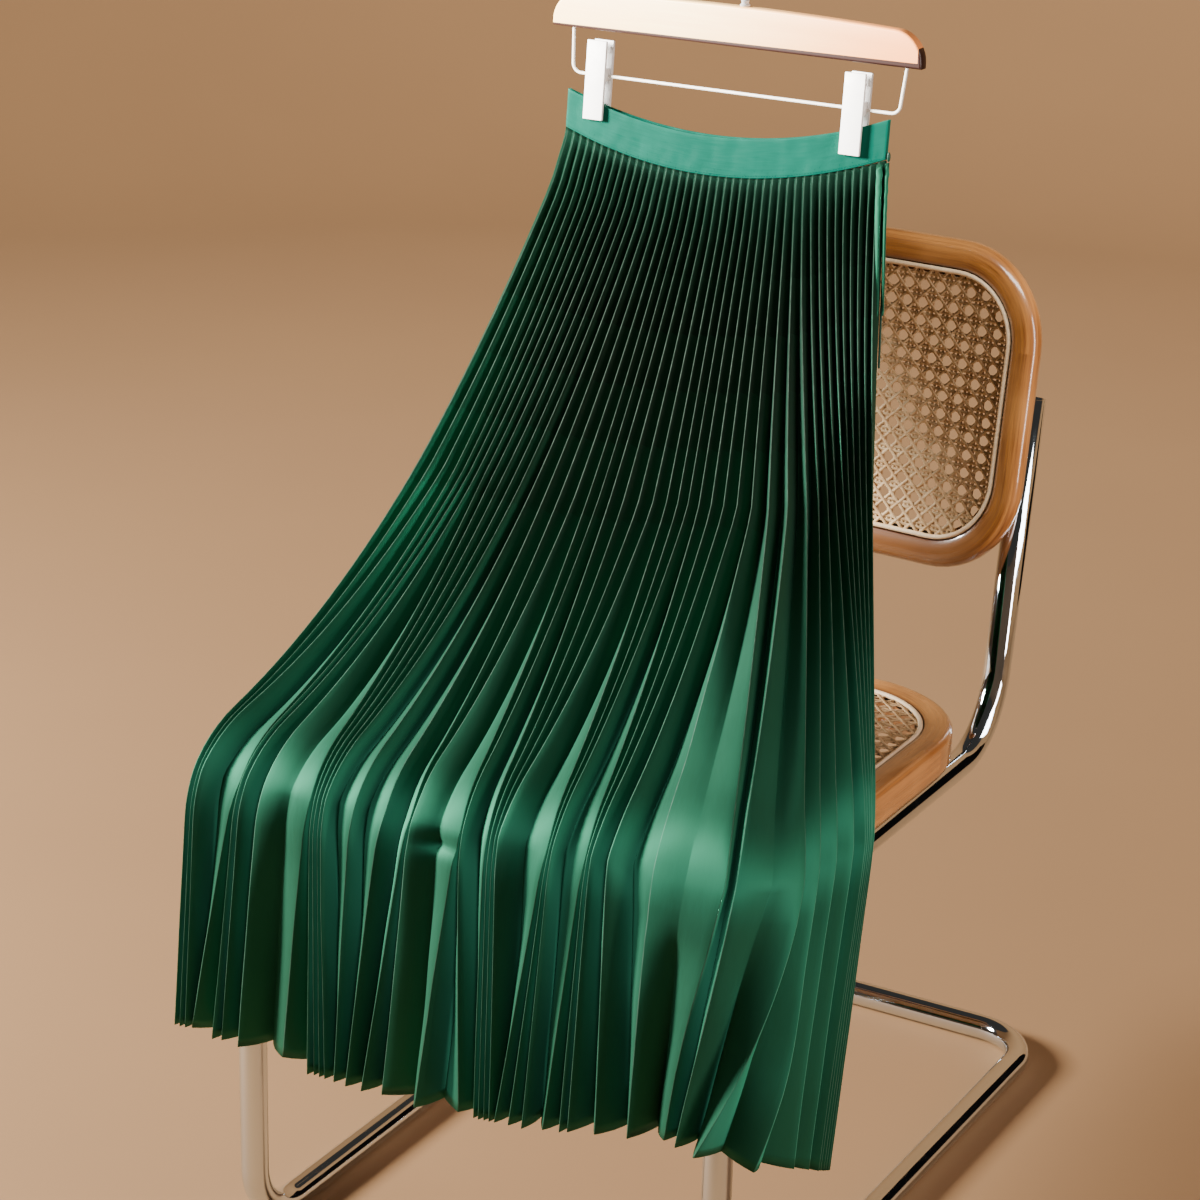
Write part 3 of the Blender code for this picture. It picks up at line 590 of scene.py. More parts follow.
def fold_lines():
    """Fractions of the girth at which the folds cross each of the stations."""
    lines = [np.linspace(0, 1, 2 * PLEATS + 1)]
    for left, right in (("hang", "hang"), ("lip_left", "lip_right"), ("hem_left", "hem_right")):
        widths = [0.0]
        for group in PLEAT_GROUPS:
            widths += [getattr(group, left), getattr(group, right)] * group.count
        run = np.cumsum(widths)
        lines.append(run / run[-1])
    for line in lines[:2]:
        line[1::2] -= KNIFE * (line[2::2] - line[:-1:2])
    return np.array(lines)


def fall_line(girth):
    """A line down the tube's middle surface, as close points from band to hem."""
    top = waist_point(girth)
    lead = top + LEAD_IN * WAIST_DOWN
    x, y = lip_plan(girth)
    here = drape(girth)
    lip = np.array([x, y, here.lip_z])
    end = np.array([x + here.flare_x, y + here.flare_y, here.hem_z])
    t = np.linspace(0, 1, HANG_POINTS)[1:, None]
    hang = lead + (lip - lead) * t
    hang[:, 2] -= here.sag * 4 * t[:, 0] * (1 - t[:, 0])
    drop = lip + (end - lip) * np.linspace(0, 1, HANG_POINTS // 2)[1:, None]
    above = top - BEND * WAIST_DOWN
    below = end + BEND * unit(end - lip)
    return np.vstack([above, top, lead, hang, drop, below])


def softened(path):
    """The path with its corners rounded, as a function of the section number."""
    run = lengths(path)
    stops = (BEND, run[HANG_POINTS + 2], run[-1] - BEND)     # band, bend and hem

    def at(section):
        middle = np.interp(section, (0, 1, 2), stops)
        reach = min(BEND, LEAD_IN + middle - BEND) * np.linspace(-1, 1, 25)
        return np.array([np.interp(middle + reach, run, path[:, i]).mean() for i in range(3)])

    return at


def middle_surface(sections):
    """Points and outward normals of the tube's middle surface, by section and fold line."""
    lines = fold_lines()
    girths = np.linspace(0, 1, GIRTH_STEPS + 1)
    falls = [softened(fall_line(girth)) for girth in girths]
    nudge = 0.02
    points, normals = [], []
    for section in sections:
        row = np.array([fall(section) for fall in falls])
        above = np.array([fall(max(section - nudge, 0)) for fall in falls])
        below = np.array([fall(min(section + nudge, 2)) for fall in falls])
        facing = np.cross(below - above, np.gradient(row, axis=0))
        folds = [np.interp(section, STATIONS, line) for line in lines.T]
        at_folds = [np.interp(folds, girths, column) for column in (*row.T, *facing.T)]
        points.append(np.transpose(at_folds[:3]))
        normals.append(unit(np.transpose(at_folds[3:])))
    return np.array(points), np.array(normals)


def face_width(section):
    share = np.interp(section, (0, 1, 2), (0, LIP_SHARE, 1))
    return FACE_AT_WAIST + (FACE_AT_HEM - FACE_AT_WAIST) * share


def pleat_heights(row, width):
    """Height of each fold over its row, so that every face keeps its width."""
    step = np.linalg.norm(np.diff(row, axis=0), axis=1)
    rise = np.sqrt(np.maximum(width ** 2 - step ** 2, (LEAST_RISE * width) ** 2))
    rise[1::2] *= -1
    walk = np.pad(np.concatenate([[0.0], np.cumsum(rise)]), LEVEL_REACH, mode="reflect")
    weights = np.full(2 * LEVEL_REACH + 1, 2.0)
    weights[[0, -1]] = 1.0
    level = np.convolve(walk, weights / weights.sum(), mode="valid")
    heights = walk[LEVEL_REACH:-LEVEL_REACH] - level
    heights = np.clip(heights, -MOST_HEIGHT * width, MOST_HEIGHT * width)
    heights[[0, -1]] = 0.0
    return heights, step


def layer_offsets(section, columns, seam):
    """Distance from the middle surface to a panel: least at the side seams."""
    share = min(section, 1)
    depth = LAYER_AT_WAIST + (LAYER_AT_LIP - LAYER_AT_WAIST) * share
    edge = np.abs(2 * np.linspace(0, 1, columns) - 1)
    return seam + (depth - seam) * (1 - edge ** (2 + 8 * share))


def wander(fold, section, seed):
    """A smooth uneven value between about -1 and 1 for a fold at a section."""
    return noise.noise(Vector((fold * 0.61, section * 3.1, seed)))


def fold_points(sections, side):
    """Where each fold line runs in space, by section, on the front (1) or back (-1) panel."""
    points, normals = middle_surface(sections)
    grid = []
    for section, row, normal in zip(sections, points, normals):
        width = face_width(section)
        heights, step = pleat_heights(row, width)
        steepness = np.linspace(width / step[0], width / step[-1], len(row))
        seam = (CLOTH + GAP) / 2 * SEAM_ROOM * steepness
        tucked = 0.55 + 0.45 * min(section / 0.02, 1)
        uneven = np.array([wander(k, section, 4.0) for k in range(len(row))])
        heights = heights * tucked + UNEVEN * min(section / 0.1, 1) * uneven
        for dent in DENTS:
            away = ((np.arange(len(row)) - dent.fold) / dent.folds) ** 2
            away += ((section - dent.section) / dent.sections) ** 2
            heights -= dent.depth * np.exp(-away)
        offset = heights + side * layer_offsets(section, len(row), seam)
        grid.append(row + normal * offset[:, None])
    return np.array(grid)


def make_panel(name, side, sections, cuts, satins):
    """A pleated panel: every face crossed by a few columns, bowed a little, folds rounded."""
    folds = fold_points(sections, side)
    faces = folds.shape[1] - 1
    per_face = len(cuts) + 2
    columns, rows = faces * per_face, len(sections) - 1
    grid = np.zeros((rows + 1, columns + 1, 3))
    across = np.zeros((rows + 1, columns + 1))
    for i, section in enumerate(sections):
        row = folds[i]
        down = folds[min(i + 1, rows)] - folds[max(i - 1, 0)]
        span = np.diff(row, axis=0)
        width = np.linalg.norm(span, axis=1)
        facing = unit(np.cross((down[:-1] + down[1:]) / 2, span))
        near = np.minimum(0.2, CREASE / width)
        most = np.interp(section, (0.6, 0.9), BOW)
        for slot, share in enumerate([0.0, near, *cuts]):
            share = np.broadcast_to(share, faces)
            if slot > 1:
                share = near + (1 - 2 * near) * share
            place = row[:-1] + span * share[:, None]
            bow = np.array([0.5 + 0.5 * wander(k, section, 9.0) for k in range(faces)])
            bow = most * width * bow * np.sin(math.pi * share)
            grid[i, slot:-1:per_face] = place + facing * bow[:, None]
            outer = np.arange(faces) % 2 == 1
            across[i, slot:-1:per_face] = np.where(outer, share, 1 - share) * width
        grid[i, -1] = row[-1]
        across[i, -1] = width[-1]
        inner = slice(per_face, -1, per_face)
        before = grid[i, per_face - 1:-2:per_face]
        after = grid[i, per_face + 1::per_face]
        grid[i, inner] = 0.5 * grid[i, inner] + 0.25 * (before + after)
    run = np.zeros((rows + 1, columns + 1))
    run[1:] = np.cumsum(np.linalg.norm(np.diff(grid, axis=0), axis=2), axis=0)
    mesh = smooth_mesh(name, shaped_grid(columns, rows, lambda u, v: (u, v, 0)))
    mesh.vertices.foreach_set("co", (grid + np.array(SHIFT)).reshape(-1))
    corner = np.zeros(len(mesh.loops), dtype=np.int32)
    mesh.loops.foreach_get("vertex_index", corner)
    tile = np.stack([across.reshape(-1)[corner], run.reshape(-1)[corner]], axis=1)
    mesh.uv_layers["UVMap"].data.foreach_set("uv", tile.reshape(-1))
    if side > 0:
        mesh.flip_normals()
    mesh.update()
    grades = [sum(section >= grade.section for grade in GRADES) for section in sections[:-1]]
    mesh.polygons.foreach_set("material_index", np.repeat(grades, columns).astype(np.int32))
    solid = "front_panel" if side > 0 else "back_panel"
    return thicken(add_piece(name, mesh, satins, [solid]), SATIN)


def make_placket(satin):
    """The two narrow turned edges over the side zip, puckered where the band stops them."""
    sections = np.linspace(0.006, PLACKET_END, 28)
    last = len(sections) - 1
    points, normals = middle_surface(sections)
    seam, facing = points[:, -1], normals[:, -1]
    outward = unit(seam - points[:, -4])
    run = lengths(seam)
    bm = bmesh.new()
    for strip in PLACKET:
        def where(u, v, strip=strip):
            k = round(v * last)
            tail = max(1 - k / last, 0.02) ** 0.35
            side = strip.outer + (strip.inner - strip.outer) * (1 - u) * tail
            pucker = 0.0012 * math.exp(-run[k] / 0.025) * math.sin(run[k] / 0.0021)
            swell = 0.0013 * math.sin(math.pi * u) * tail + pucker * (0.4 + u)
            lift = strip.lift * (0.4 + 0.6 * tail) + swell
            return Vector(seam[k] + outward[k] * side + facing[k] * lift) + SHIFT

        made = shaped_grid(5, last, where, lambda u, v: (0.002 + 0.005 * u, 0.80 + run[-1] * v))
        mesh = smooth_mesh("strip", made)
        bm.from_mesh(mesh)
        bpy.data.meshes.remove(mesh)
    return thicken(add_piece("zip_placket", bm, [satin]), PLACKET_CLOTH)


def make_panels(satins):
    fine = np.concatenate([[0, 0.005, 0.012, 0.022], np.linspace(0.04, 0.86, 30),
                           np.linspace(0.885, 1.13, 17), np.linspace(1.17, 2, 22)])
    coarse = np.concatenate([[0, 0.02], np.linspace(0.05, 0.86, 18),
                             np.linspace(0.89, 1.13, 12), np.linspace(1.18, 2, 14)])
    front = make_panel("front_pleats", 1, fine, (0.22, 0.5, 0.78, 1.0), satins)
    back = make_panel("back_pleats", -1, coarse, (0.5, 1.0), satins)
    placket = make_placket(satins[-1])
    return [front, back, placket]


# -------- the waistband and zip
def make_waistband(band):
    """Two folded strips over the top of the pleats, a little puckered by the gathers below."""
    up = -WAIST_DOWN
    forward = np.array([0.0, -math.cos(WAIST_TILT), math.sin(WAIST_TILT)])
    seam = (BAND_CLOTH + GAP) / 2
    length = WAIST_RIGHT[0] - WAIST_LEFT[0]
    for name, side in (("waistband_front_cloth", 1), ("waistband_back_cloth", -1)):
        def where(u, v, side=side):
            edge = abs(2 * u - 1)
            depth = seam + (LAYER_AT_WAIST - seam) * (1 - edge ** 2)
            low = waist_point(u) + up * (GAP + BAND_INSET)
            point = low + up * (BAND_HEIGHT - 2 * BAND_INSET) * v + forward * side * depth
            pucker = noise.noise(Vector((u * 26, v * 2.2, side * 3.0)))
            ripple = noise.noise(Vector((u * 90, v * 3.0, side * 7.0)))
            swell = 0.0004 * pucker + 0.00022 * ripple * (1 - v)
            return Vector(point + forward * swell) + SHIFT

        bm = shaped_grid(110, 10, where, lambda u, v: (u * length, v * BAND_HEIGHT))
        piece = add_piece(name, bm, [band], [name.removesuffix("_cloth")])
        thicken(piece, BAND_CLOTH - 2 * BAND_INSET)
        rolled = piece.modifiers.new("rolled_edge", "BEVEL")
        rolled.width = 0.0007
        rolled.segments = 3
        rolled.limit_method = "ANGLE"
        rolled.angle_limit = math.radians(50)


def carry_over_zip(tape):
    """The concealed zip's bead and slider keep their solids, in the tape's own colour."""
    for name in ("side_zip", "zip_slider"):
        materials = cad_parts[name].data.materials
        materials.clear()
        materials.append(tape)


# -------- the hanger
def make_hanger_bar(beech):
    """A flat wooden bar with rounded upper corners and eased edges."""
    shoulder = BAR_BOTTOM + BAR_HEIGHT - BAR_SHOULDER
    inner = BAR_RIGHT - BAR_LEFT - 2 * BAR_END_RADIUS
    quarter = [(BAR_END_RADIUS * (1 - math.cos(a)), BAR_END_RADIUS * (1 - math.sin(a)))
               for a in np.linspace(0, math.pi / 2, 11)]
    outline = [(BAR_LEFT, BAR_BOTTOM), (BAR_RIGHT, BAR_BOTTOM)]
    outline += [(BAR_RIGHT - far, shoulder - low) for far, low in quarter]
    outline += [(BAR_RIGHT - BAR_END_RADIUS - inner * t, shoulder + BAR_SHOULDER * 4 * t * (1 - t))
                for t in np.linspace(0, 1, 13)[1:-1]]
    outline += [(BAR_LEFT + far, shoulder - low) for low, far in quarter]
    bm = bmesh.new()
    front = HANGER_Y - BAR_THICK / 2
    face = bm.faces.new([bm.verts.new(Vector((x, front, z)) + SHIFT) for x, z in outline])
    made = bmesh.ops.extrude_face_region(bm, geom=[face])
    moved = [v for v in made["geom"] if isinstance(v, bmesh.types.BMVert)]
    bmesh.ops.translate(bm, verts=moved, vec=(0, BAR_THICK, 0))
    bmesh.ops.recalc_face_normals(bm, faces=bm.faces)
    rims = [e for e in bm.edges if abs(e.verts[0].co.y - e.verts[1].co.y) < 1e-5]
    bmesh.ops.bevel(bm, geom=rims, offset=0.0020, offset_type="OFFSET", segments=4,
                    profile=0.5, affect="EDGES", material=-1)
    return add_piece("hanger_bar_beech", bm, [beech], ["hanger_bar"], 50)


def make_hook(metal, ferrule):
    """The swivelling hook: a bent wire with a ball tip, in a turned ferrule."""
    base = BAR_BOTTOM + BAR_HEIGHT + GAP
    bow = (HOOK_X, HANGER_Y, base + HOOK_STEM + HOOK_BOW)
    points = [(HOOK_X, HANGER_Y, base), (HOOK_X, HANGER_Y, base + HOOK_STRAIGHT)]
    points += arc(bow, (0, 0, -HOOK_BOW), (0, 1, 0), HOOK_TURN, 40)
    bm = round_bar(points, HOOK_RADIUS)
    bmesh.ops.create_uvsphere(bm, u_segments=16, v_segments=10, radius=HOOK_RADIUS * 1.25,
                              matrix=Matrix.Translation(points[-1] + SHIFT))
    add_piece("hanger_hook_wire", bm, [metal], ["hanger_hook"])
    profile = ((0.0019, 0.0), (0.0042, 0.0), (0.0044, 0.0012), (0.0032, 0.0022), (0.0031, 0.0036),
               (0.0036, 0.0044), (0.0031, 0.0052), (0.0019, 0.0056), (0.0019, 0.0))
    bm = lathed(profile, Vector((HOOK_X, HANGER_Y, base)) + SHIFT, 24)
    add_piece("hook_ferrule", bm, [ferrule])


def make_wire(coated):
    """One bent wire: two drops from the bar and the rod that carries the clips."""
    top = BAR_BOTTOM - GAP
    low = ROD_Z + ROD_BEND
    points = [(ROD_LEFT, HANGER_Y, top)]
    for x, start in ((ROD_LEFT + ROD_BEND, (-ROD_BEND, 0, 0)),
                     (ROD_RIGHT - ROD_BEND, (0, 0, -ROD_BEND))):
        points += arc((x, HANGER_Y, low), start, (0, 1, 0), -math.pi / 2, 10)
    points.append((ROD_RIGHT + WIRE_SPLAY, HANGER_Y, top))
    return add_piece("hanger_wire", round_bar(points, ROD_RADIUS), [coated],
                     ["wire_left", "clip_rod", "wire_right"])


def make_clips(plastic, steel):
    """Two sprung clips: flat plates with pivot lugs, and a coil spring round the rod."""
    turn = Matrix.Rotation(-WAIST_TILT, 4, "X")
    plate = (CLIP_WIDTH, CLIP_PLATE, CLIP_ABOVE + CLIP_BELOW)
    lug = (0.0014, CLIP_OPEN - 0.0002, 0.0110)
    pad = (CLIP_WIDTH - 0.004, 0.0016, 0.0060)
    made = []
    for label, x in zip(("left", "right"), CLIP_X):
        bm = bmesh.new()
        for side in (1, -1):
            reach = CLIP_WIDTH / 2 - (0.0008 if side > 0 else 0.0026)
            for size, across, depth, up, bevel in (
                    (plate, 0, CLIP_OPEN + CLIP_PLATE / 2, (CLIP_ABOVE - CLIP_BELOW) / 2, 0.0006),
                    (lug, -reach, CLIP_OPEN / 2 + 0.0008, 0.001, 0.0004),
                    (lug, reach, CLIP_OPEN / 2 + 0.0008, 0.001, 0.0004),
                    (pad, 0, CLIP_OPEN - 0.0006, CLIP_ABOVE - 0.008, 0.0004)):
                rounded_block(bm, size, (across, -side * depth, up), bevel)
        bm.transform(Matrix.Translation(Vector((x, HANGER_Y, ROD_Z)) + SHIFT) @ turn)
        made.append(add_piece(f"clip_plates_{label}", bm, [plastic],
                              [f"clip_{label}_front", f"clip_{label}_back"], 50))
        half = CLIP_WIDTH / 2 - BARREL_INSET - 0.0022
        coil = BARREL_RADIUS - 0.0007
        points = [(x + half * (t / SPRING_TURNS * 2 - 1),
                   HANGER_Y + coil * math.cos(2 * math.pi * t),
                   ROD_Z + coil * math.sin(2 * math.pi * t))
                  for t in np.linspace(0, SPRING_TURNS, SPRING_TURNS * 16 + 1)]
        add_piece(f"clip_spring_{label}", round_bar(points, SPRING_WIRE, 1), [steel],
                  [f"clip_{label}_spring"])
    return made


# -------- the chair
def tube_path():
    """The middle line of the bent tube, from the left upright's top to the right one's."""
    lean = Vector((0, math.sin(BACK_LEAN), math.cos(BACK_LEAN)))
    turn_up = math.pi / 2 - BACK_LEAN
    reach = BACK_BEND * math.tan(turn_up / 2)
    x = -HALF_WIDTH
    spin = (1, 0, 0)
    low = TUBE_FLAT + FOOT_BEND
    runner_back = REAR_Y - CORNER_BEND
    half = [Vector((x, BACK_Y, RAIL_Z)) + lean * ((UPRIGHT_TOP - RAIL_Z) / math.cos(BACK_LEAN))]
    half += reversed(arc((x, BACK_Y - reach, RAIL_Z + BACK_BEND), (0, 0, -BACK_BEND), spin,
                         turn_up, 14))
    half += arc((x, FRONT_BEND, RAIL_Z - FRONT_BEND), (0, 0, FRONT_BEND), spin, math.pi / 2, 14)
    half += arc((x, FOOT_BEND, low), (0, -FOOT_BEND, 0), spin, math.pi / 2, 12)
    half += arc((x + CORNER_BEND, runner_back, TUBE_FLAT), (-CORNER_BEND, 0, 0), (0, 0, 1),
                -math.pi / 2, 12)
    return half + [Vector((-p.x, p.y, p.z)) for p in reversed(half)]


def make_chair_tube(chrome):
    """One continuous bent tube, open at its two upper ends."""
    runs = ("upright", "back_bend", "seat_rail", "front_bend", "leg", "foot_bend", "runner",
            "corner_bend")
    nodes = [f"{run}_{side}" for run in runs for side in ("left", "right")] + ["rear_bar"]
    bm = round_bar(tube_path(), TUBE, 9, caps=False)
    return thicken(add_piece("chair_tube", bm, [chrome], nodes), TUBE_WALL, -1)


# A rounded rectangle, its corners' radii given as (upper, lower)
Outline = namedtuple("Outline", "half_x half_y corners")


def rounded_loop(outline, inset, corner_steps=12, side_steps=14):
    """Points round an outline, set in by a width."""
    half_x, half_y, corners = outline
    rounded = []
    for quarter, (sx, sy) in enumerate(((1, 1), (-1, 1), (-1, -1), (1, -1))):
        radius = corners[0 if sy > 0 else 1]
        middle = Vector((sx * (half_x - radius), sy * (half_y - radius)))
        turns = [math.pi / 2 * (quarter + i / corner_steps) for i in range(corner_steps + 1)]
        rounded.append([middle + (radius - inset) * Vector((math.cos(a), math.sin(a)))
                        for a in turns])
    points = []
    for arc_points, following in zip(rounded, rounded[1:] + rounded[:1]):
        points += arc_points
        points += [arc_points[-1].lerp(following[0], i / side_steps) for i in range(1, side_steps)]
    return points


def make_ring(name, outline, profile, where, finishes, nodes=(), sharp=40):
    """A section carried round an outline; profile is (inset, height) pairs."""
    loops = [rounded_loop(outline, inset) for inset, _ in profile]
    count, depth = len(loops[0]), len(profile)
    perimeter = 4 * (outline.half_x + outline.half_y) - (4 - math.pi) * sum(outline.corners)

    def place(u, v):
        k = round(v * depth) % depth
        x, y = loops[k][round(u * count) % count]
        return where(x, y, profile[k][1]) + SHIFT

    bm = shaped_grid(count, depth, place, lambda u, v: (u * perimeter, v), weld=True)
    return add_piece(name, bm, finishes, nodes, sharp)


def is_inside(x, y, outline):
    radius = outline.corners[0 if y > 0 else 1]
    return math.hypot(max(abs(x) - (outline.half_x - radius), 0),
                      max(abs(y) - (outline.half_y - radius), 0)) <= radius


def make_cane(name, outline, height, where, cane):
    """Woven cane: pairs of upright and level strands with slanting ones between them."""
    pitch = CANE_PITCH
    step = pitch / 4
    slant = math.sqrt(0.5)
    strands = []
    for k in range(-40, 41):
        for pair in (-CANE_PAIR, CANE_PAIR):
            strands.append(((k * pitch + pair, 0), (0, 1), CANE_LIFT[0], k))
            strands.append(((0, k * pitch + pair), (1, 0), CANE_LIFT[1], k))
        strands.append((((k + 0.5) * pitch, 0), (slant, slant), CANE_LIFT[2], k))
        strands.append((((k + 0.5) * pitch, 0), (slant, -slant), CANE_LIFT[3], k + 1))
    bm = bmesh.new()
    reach = int(2 * (outline.half_x + outline.half_y) / step)
    for (ox, oy), (dx, dy), lift, phase in strands:
        kept = [i for i in range(-reach, reach + 1)
                if is_inside(ox + dx * i * step, oy + dy * i * step, outline)]
        if len(kept) < 3:
            continue
        first, last = kept[0], kept[-1]
        made = bmesh.ops.create_grid(bm, x_segments=last - first, y_segments=1, size=1)
        for vert in made["verts"]:
            i = first + (vert.co.x + 1) / 2 * (last - first)
            side = vert.co.y * CANE_STRAND / 2
            weave = CANE_WAVE * math.cos(math.pi * (i / 2 + phase))
            vert.co = where(ox + dx * i * step - dy * side, oy + dy * i * step + dx * side,
                            height + lift + weave) + SHIFT
    thicken(add_piece(name, smooth_mesh(name, bm), [cane],
                      [name.replace("_woven", "")]), CANE_THICK)


def rounded_profile(width, thickness, roll):
    """The bentwood's section: rolled outer side, inner bevel and a ledge under the cane."""
    ledge = width + LEDGE
    points = [(ledge, thickness - 0.0065), (width, thickness - 0.0060),
              (width - 0.001, thickness - 0.0012), (width - 0.0045, thickness)]
    quarter = [(1 - math.sin(a), 1 - math.cos(a)) for a in np.linspace(0, math.pi / 2, 7)]
    low = min(roll, thickness - roll)
    points += [(roll * far, thickness - roll * near) for far, near in quarter]
    points += [(low * near, low * far) for far, near in quarter]
    return points + [(ledge - 0.004, 0.0), (ledge, 0.004)]


def make_caned_frame(name, outline, width, thickness, roll, where, finishes):
    """A bentwood frame, its woven panel and the spline that holds the cane in its groove."""
    wood, cane, spline = finishes
    profile = rounded_profile(width, thickness, roll)
    bent = make_ring(f"{name}_bentwood", outline, profile, where, [wood],
                     [f"{name}_frame"], 50)
    inner = width + 0.001
    opening = Outline(outline.half_x - inner, outline.half_y - inner,
                      [radius - inner for radius in outline.corners])
    make_cane(f"{name}_woven_cane", opening, thickness - CANE_SUNK, where, cane)
    strip = [(width + 0.0004 + SPLINE_RADIUS * (1 + math.cos(a)),
              thickness - 0.0022 + SPLINE_RADIUS * math.sin(a))
             for a in np.linspace(0, 2 * math.pi, 11)[:-1]]
    return [bent, make_ring(f"{name}_cane_spline", outline, strip, where, [spline])]


def make_seat(finishes):
    bottom = RAIL_Z + TUBE_FLAT + GAP
    middle = (SEAT_FRONT + SEAT_REAR) / 2

    def where(x, y, height):
        return Vector((x, middle + y, bottom + height))

    outline = Outline(SEAT_HALF, (SEAT_REAR - SEAT_FRONT) / 2, SEAT_CORNERS)
    make_caned_frame("seat", outline, FRAME_WIDTH, SEAT_THICK, 0.006, where, finishes)


def make_backrest(finishes):
    """The back: curved round the sitter, its ends against the uprights."""
    lean = Matrix.Rotation(-BACK_LEAN, 3, "X")
    hollow = BACK_HALF_WIDTH ** 2 / (2 * BACK_CURVE)
    behind = TUBE + 0.0055
    upright_y = BACK_Y + (BACK_MIDDLE_Z - RAIL_Z) * math.tan(BACK_LEAN)
    middle = Vector((0, upright_y, BACK_MIDDLE_Z))

    def where(x, z, height):
        bow = hollow - x * x / (2 * BACK_CURVE)
        return middle + lean @ Vector((x, bow - behind - height, z))

    outline = Outline(BACK_HALF_WIDTH, BACK_HALF_HEIGHT, BACK_CORNERS)
    return make_caned_frame("back", outline, FRAME_WIDTH, BACK_THICK, 0.012, where, finishes)


# -------- studio
SUBJECT = (0.0, -0.25, 0.55)
COVE, COVE_TURN, COVE_TOP = 4.6, 1.0, 3.6        # the paper's radius, curve and height

# Area lamps; each lights the pieces named last, or everything
Lamp = namedtuple("Lamp", "name place aim size power colour lit")
LAMPS = [
    Lamp("key", (-2.75, -1.45, 1.80), SUBJECT, (0.8, 0.9), 520, (1.0, 0.97, 0.93), None),
    Lamp("hanger_light", (-1.4, -1.6, 1.5), (0, 0.44, 0.99), (0.8, 0.6), 420, (1.0, 0.94, 0.86),
         "hanger"),
    Lamp("fill", (1.15, -1.85, 1.62), SUBJECT, (0.4, 0.4), 115, (1.0, 0.42, 0.48), "cloth"),
    Lamp("wood_light", (0.5, -0.5, 2.3), (0.1, 0.6, 0.6), (1.2, 0.5), 34, (1.0, 0.95, 0.88),
         "wood"),
    Lamp("side", (2.1, -0.3, 1.1), SUBJECT, (0.4, 1.6), 40, (1.0, 0.85, 0.80), None),
    Lamp("tube_light", (2.4, 0.4, 2.0), SUBJECT, (1.4, 1.4), 90, (1.0, 0.98, 0.96), "tube"),
]
for quarter, power in enumerate((70, 150, 50, 70)):
    around = Matrix.Rotation(math.pi / 2 * quarter, 3, "Z")
    LAMPS.append(Lamp(f"wall_light_{quarter}", around @ Vector((1.6, 0.0, 2.9)),
                      around @ Vector((COVE, 0.0, 1.5)), (3.0, 0.8), power, (1.0, 0.97, 0.93),
                      "paper"))


def make_backdrop():
    """A plain round paper cove, and a black card that only the chrome sees."""
    profile = [(0.0, 0.0), (COVE / 2, 0.0)]
    profile += [(COVE - COVE_TURN * (1 - math.sin(a)), COVE_TURN * (1 - math.cos(a)))
                for a in np.linspace(0, math.pi / 2, 13)]
    profile.append((COVE, COVE_TOP))
    cove = to_mesh("studio_sweep", lathed(profile, Vector(), 64), 40)
    sweep = placed("studio_sweep", cove, paper_finish())
    black = dressed(new_finish("black_card")[0], 1.0, Specular_IOR_Level=0.0,
                    Base_Color=(0.004, 0.004, 0.004, 1.0))
    card = shaped_grid(1, 1, lambda u, v: (1.1 + 3.0 * u, 2.9, 1.8 * v))
    flag = placed("black_flag", smooth_mesh("black_flag", card), black)
    flag.visible_camera = flag.visible_diffuse = flag.visible_shadow = False
    return sweep


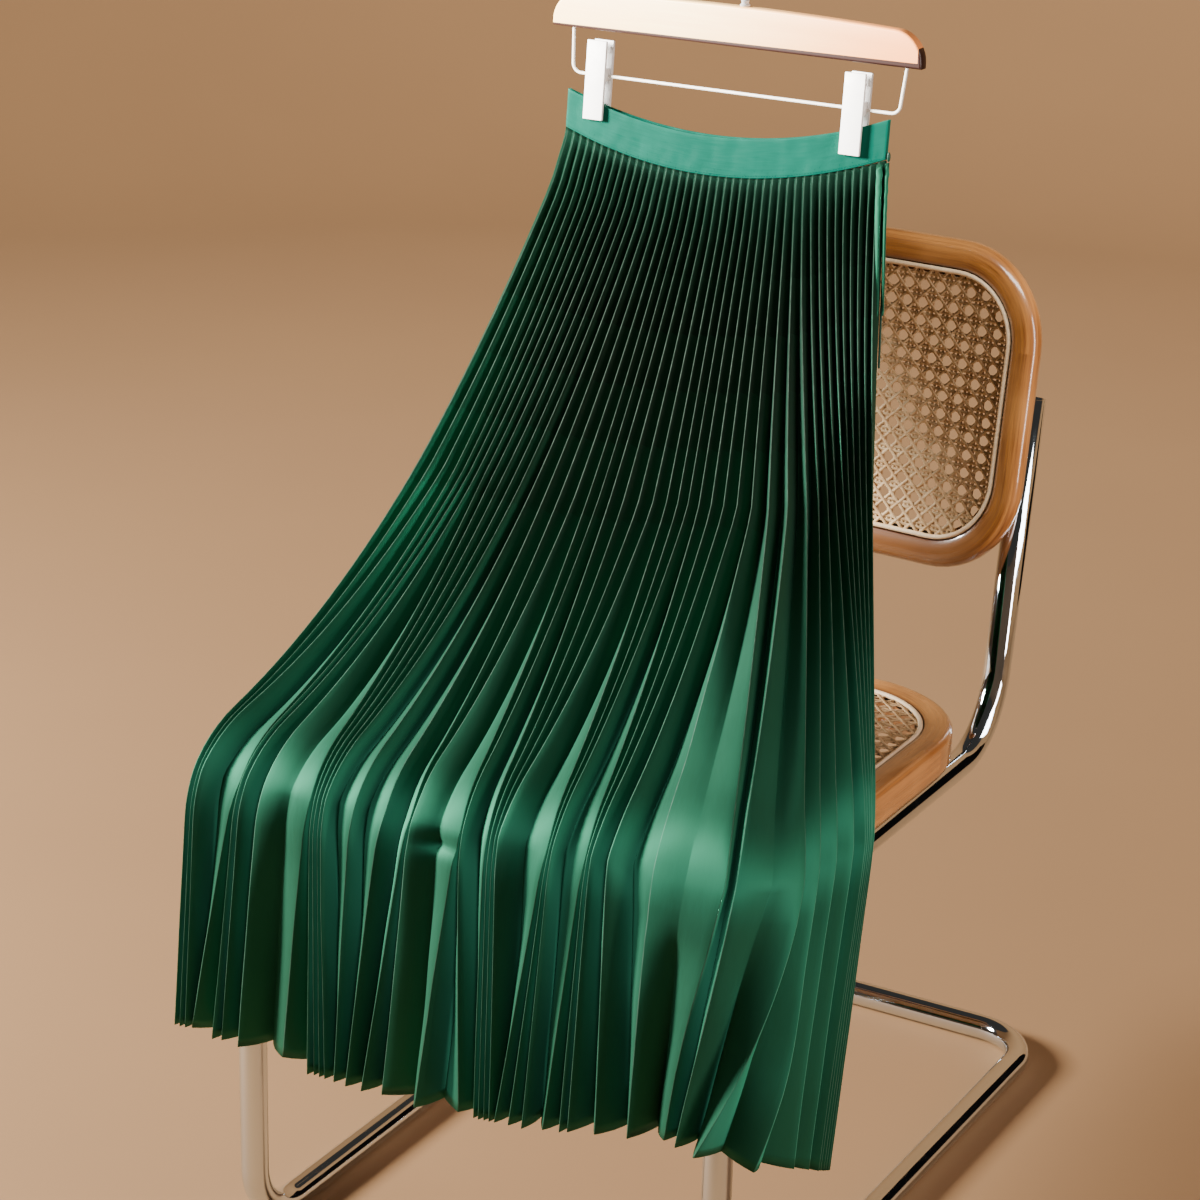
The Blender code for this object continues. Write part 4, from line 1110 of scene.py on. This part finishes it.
def make_lights(lit):
    """The lamps, linked to the pieces under each label, and a weak warm air."""
    linked = {label: bpy.data.collections.new(f"{label}_lit") for label in lit}
    for label, pieces in lit.items():
        for piece in pieces:
            linked[label].objects.link(piece)
    for lamp in LAMPS:
        light = bpy.data.lights.new(lamp.name, "AREA")
        light.shape = "RECTANGLE"
        light.size, light.size_y = lamp.size
        light.energy = lamp.power
        light.color = lamp.colour
        holder = placed(lamp.name, light)
        holder.location = lamp.place
        toward = Vector(lamp.aim) - Vector(lamp.place)
        holder.rotation_euler = toward.to_track_quat("-Z", "Y").to_euler()
        holder.light_linking.receiver_collection = linked.get(lamp.lit)
        holder.visible_diffuse = lamp.name != "fill"     # the fill is a sheen alone
    world = bpy.data.worlds.new("studio_air")
    world.use_nodes = True
    bpy.context.scene.world = world
    sky = world.node_tree.nodes["Background"].inputs
    sky["Color"].default_value = (0.80, 0.72, 0.62, 1.0)
    sky["Strength"].default_value = 0.05


def make_camera():
    """A long lens, to the right of the chair and a little above it."""
    azimuth, elevation, roll = 0.51341, 0.35106, 0.02523
    lens = bpy.data.cameras.new("camera")
    lens.lens = 94.518
    turn = (Matrix.Rotation(azimuth, 4, "Z") @ Matrix.Rotation(math.pi / 2 - elevation, 4, "X")
            @ Matrix.Rotation(roll, 4, "Z"))
    camera = placed("camera", lens)
    place = Vector((1.17978, -1.90945, 1.44944)) + SHIFT
    camera.matrix_world = Matrix.Translation(place) @ turn
    bpy.context.scene.camera = camera


# -------- the whole scene
def main():
    satins = [satin_finish(f"pleated_satin_{k}", grade.gloss) for k, grade in enumerate(GRADES)]
    cloth = make_panels(satins)
    make_waistband(band_finish())
    carry_over_zip(painted_finish("zip_tape", (0.004, 0.085, 0.050), 0.55, scale=400.0))

    coated = painted_finish("coated_wire", (0.86, 0.82, 0.74), 0.35)
    plastic = painted_finish("white_plastic", (0.90, 0.90, 0.89), 0.35, shade=0.94)
    steel = painted_finish("spring_steel", (0.30, 0.30, 0.31), 0.30, 1.0)
    hanger = [make_hanger_bar(beech_finish()), make_wire(coated), *make_clips(plastic, steel)]
    make_hook(steel, plastic)

    tube = make_chair_tube(chrome_finish())
    honey = honey_finish()
    cane = cane_finish("woven_cane", (0.86, 0.62, 0.34), (0.68, 0.44, 0.21), 60.0)
    seat_cane = cane_finish("seat_cane", (0.66, 0.44, 0.23), (0.44, 0.27, 0.12), 60.0)
    spline = cane_finish("cane_spline", (0.95, 0.74, 0.48), (0.85, 0.62, 0.38), 30.0)
    make_seat((honey, seat_cane, spline))
    wood = make_backrest((honey, cane, spline))

    make_lights({"hanger": hanger, "cloth": cloth, "wood": wood, "tube": [tube],
                 "paper": [make_backdrop()]})
    make_camera()


main()
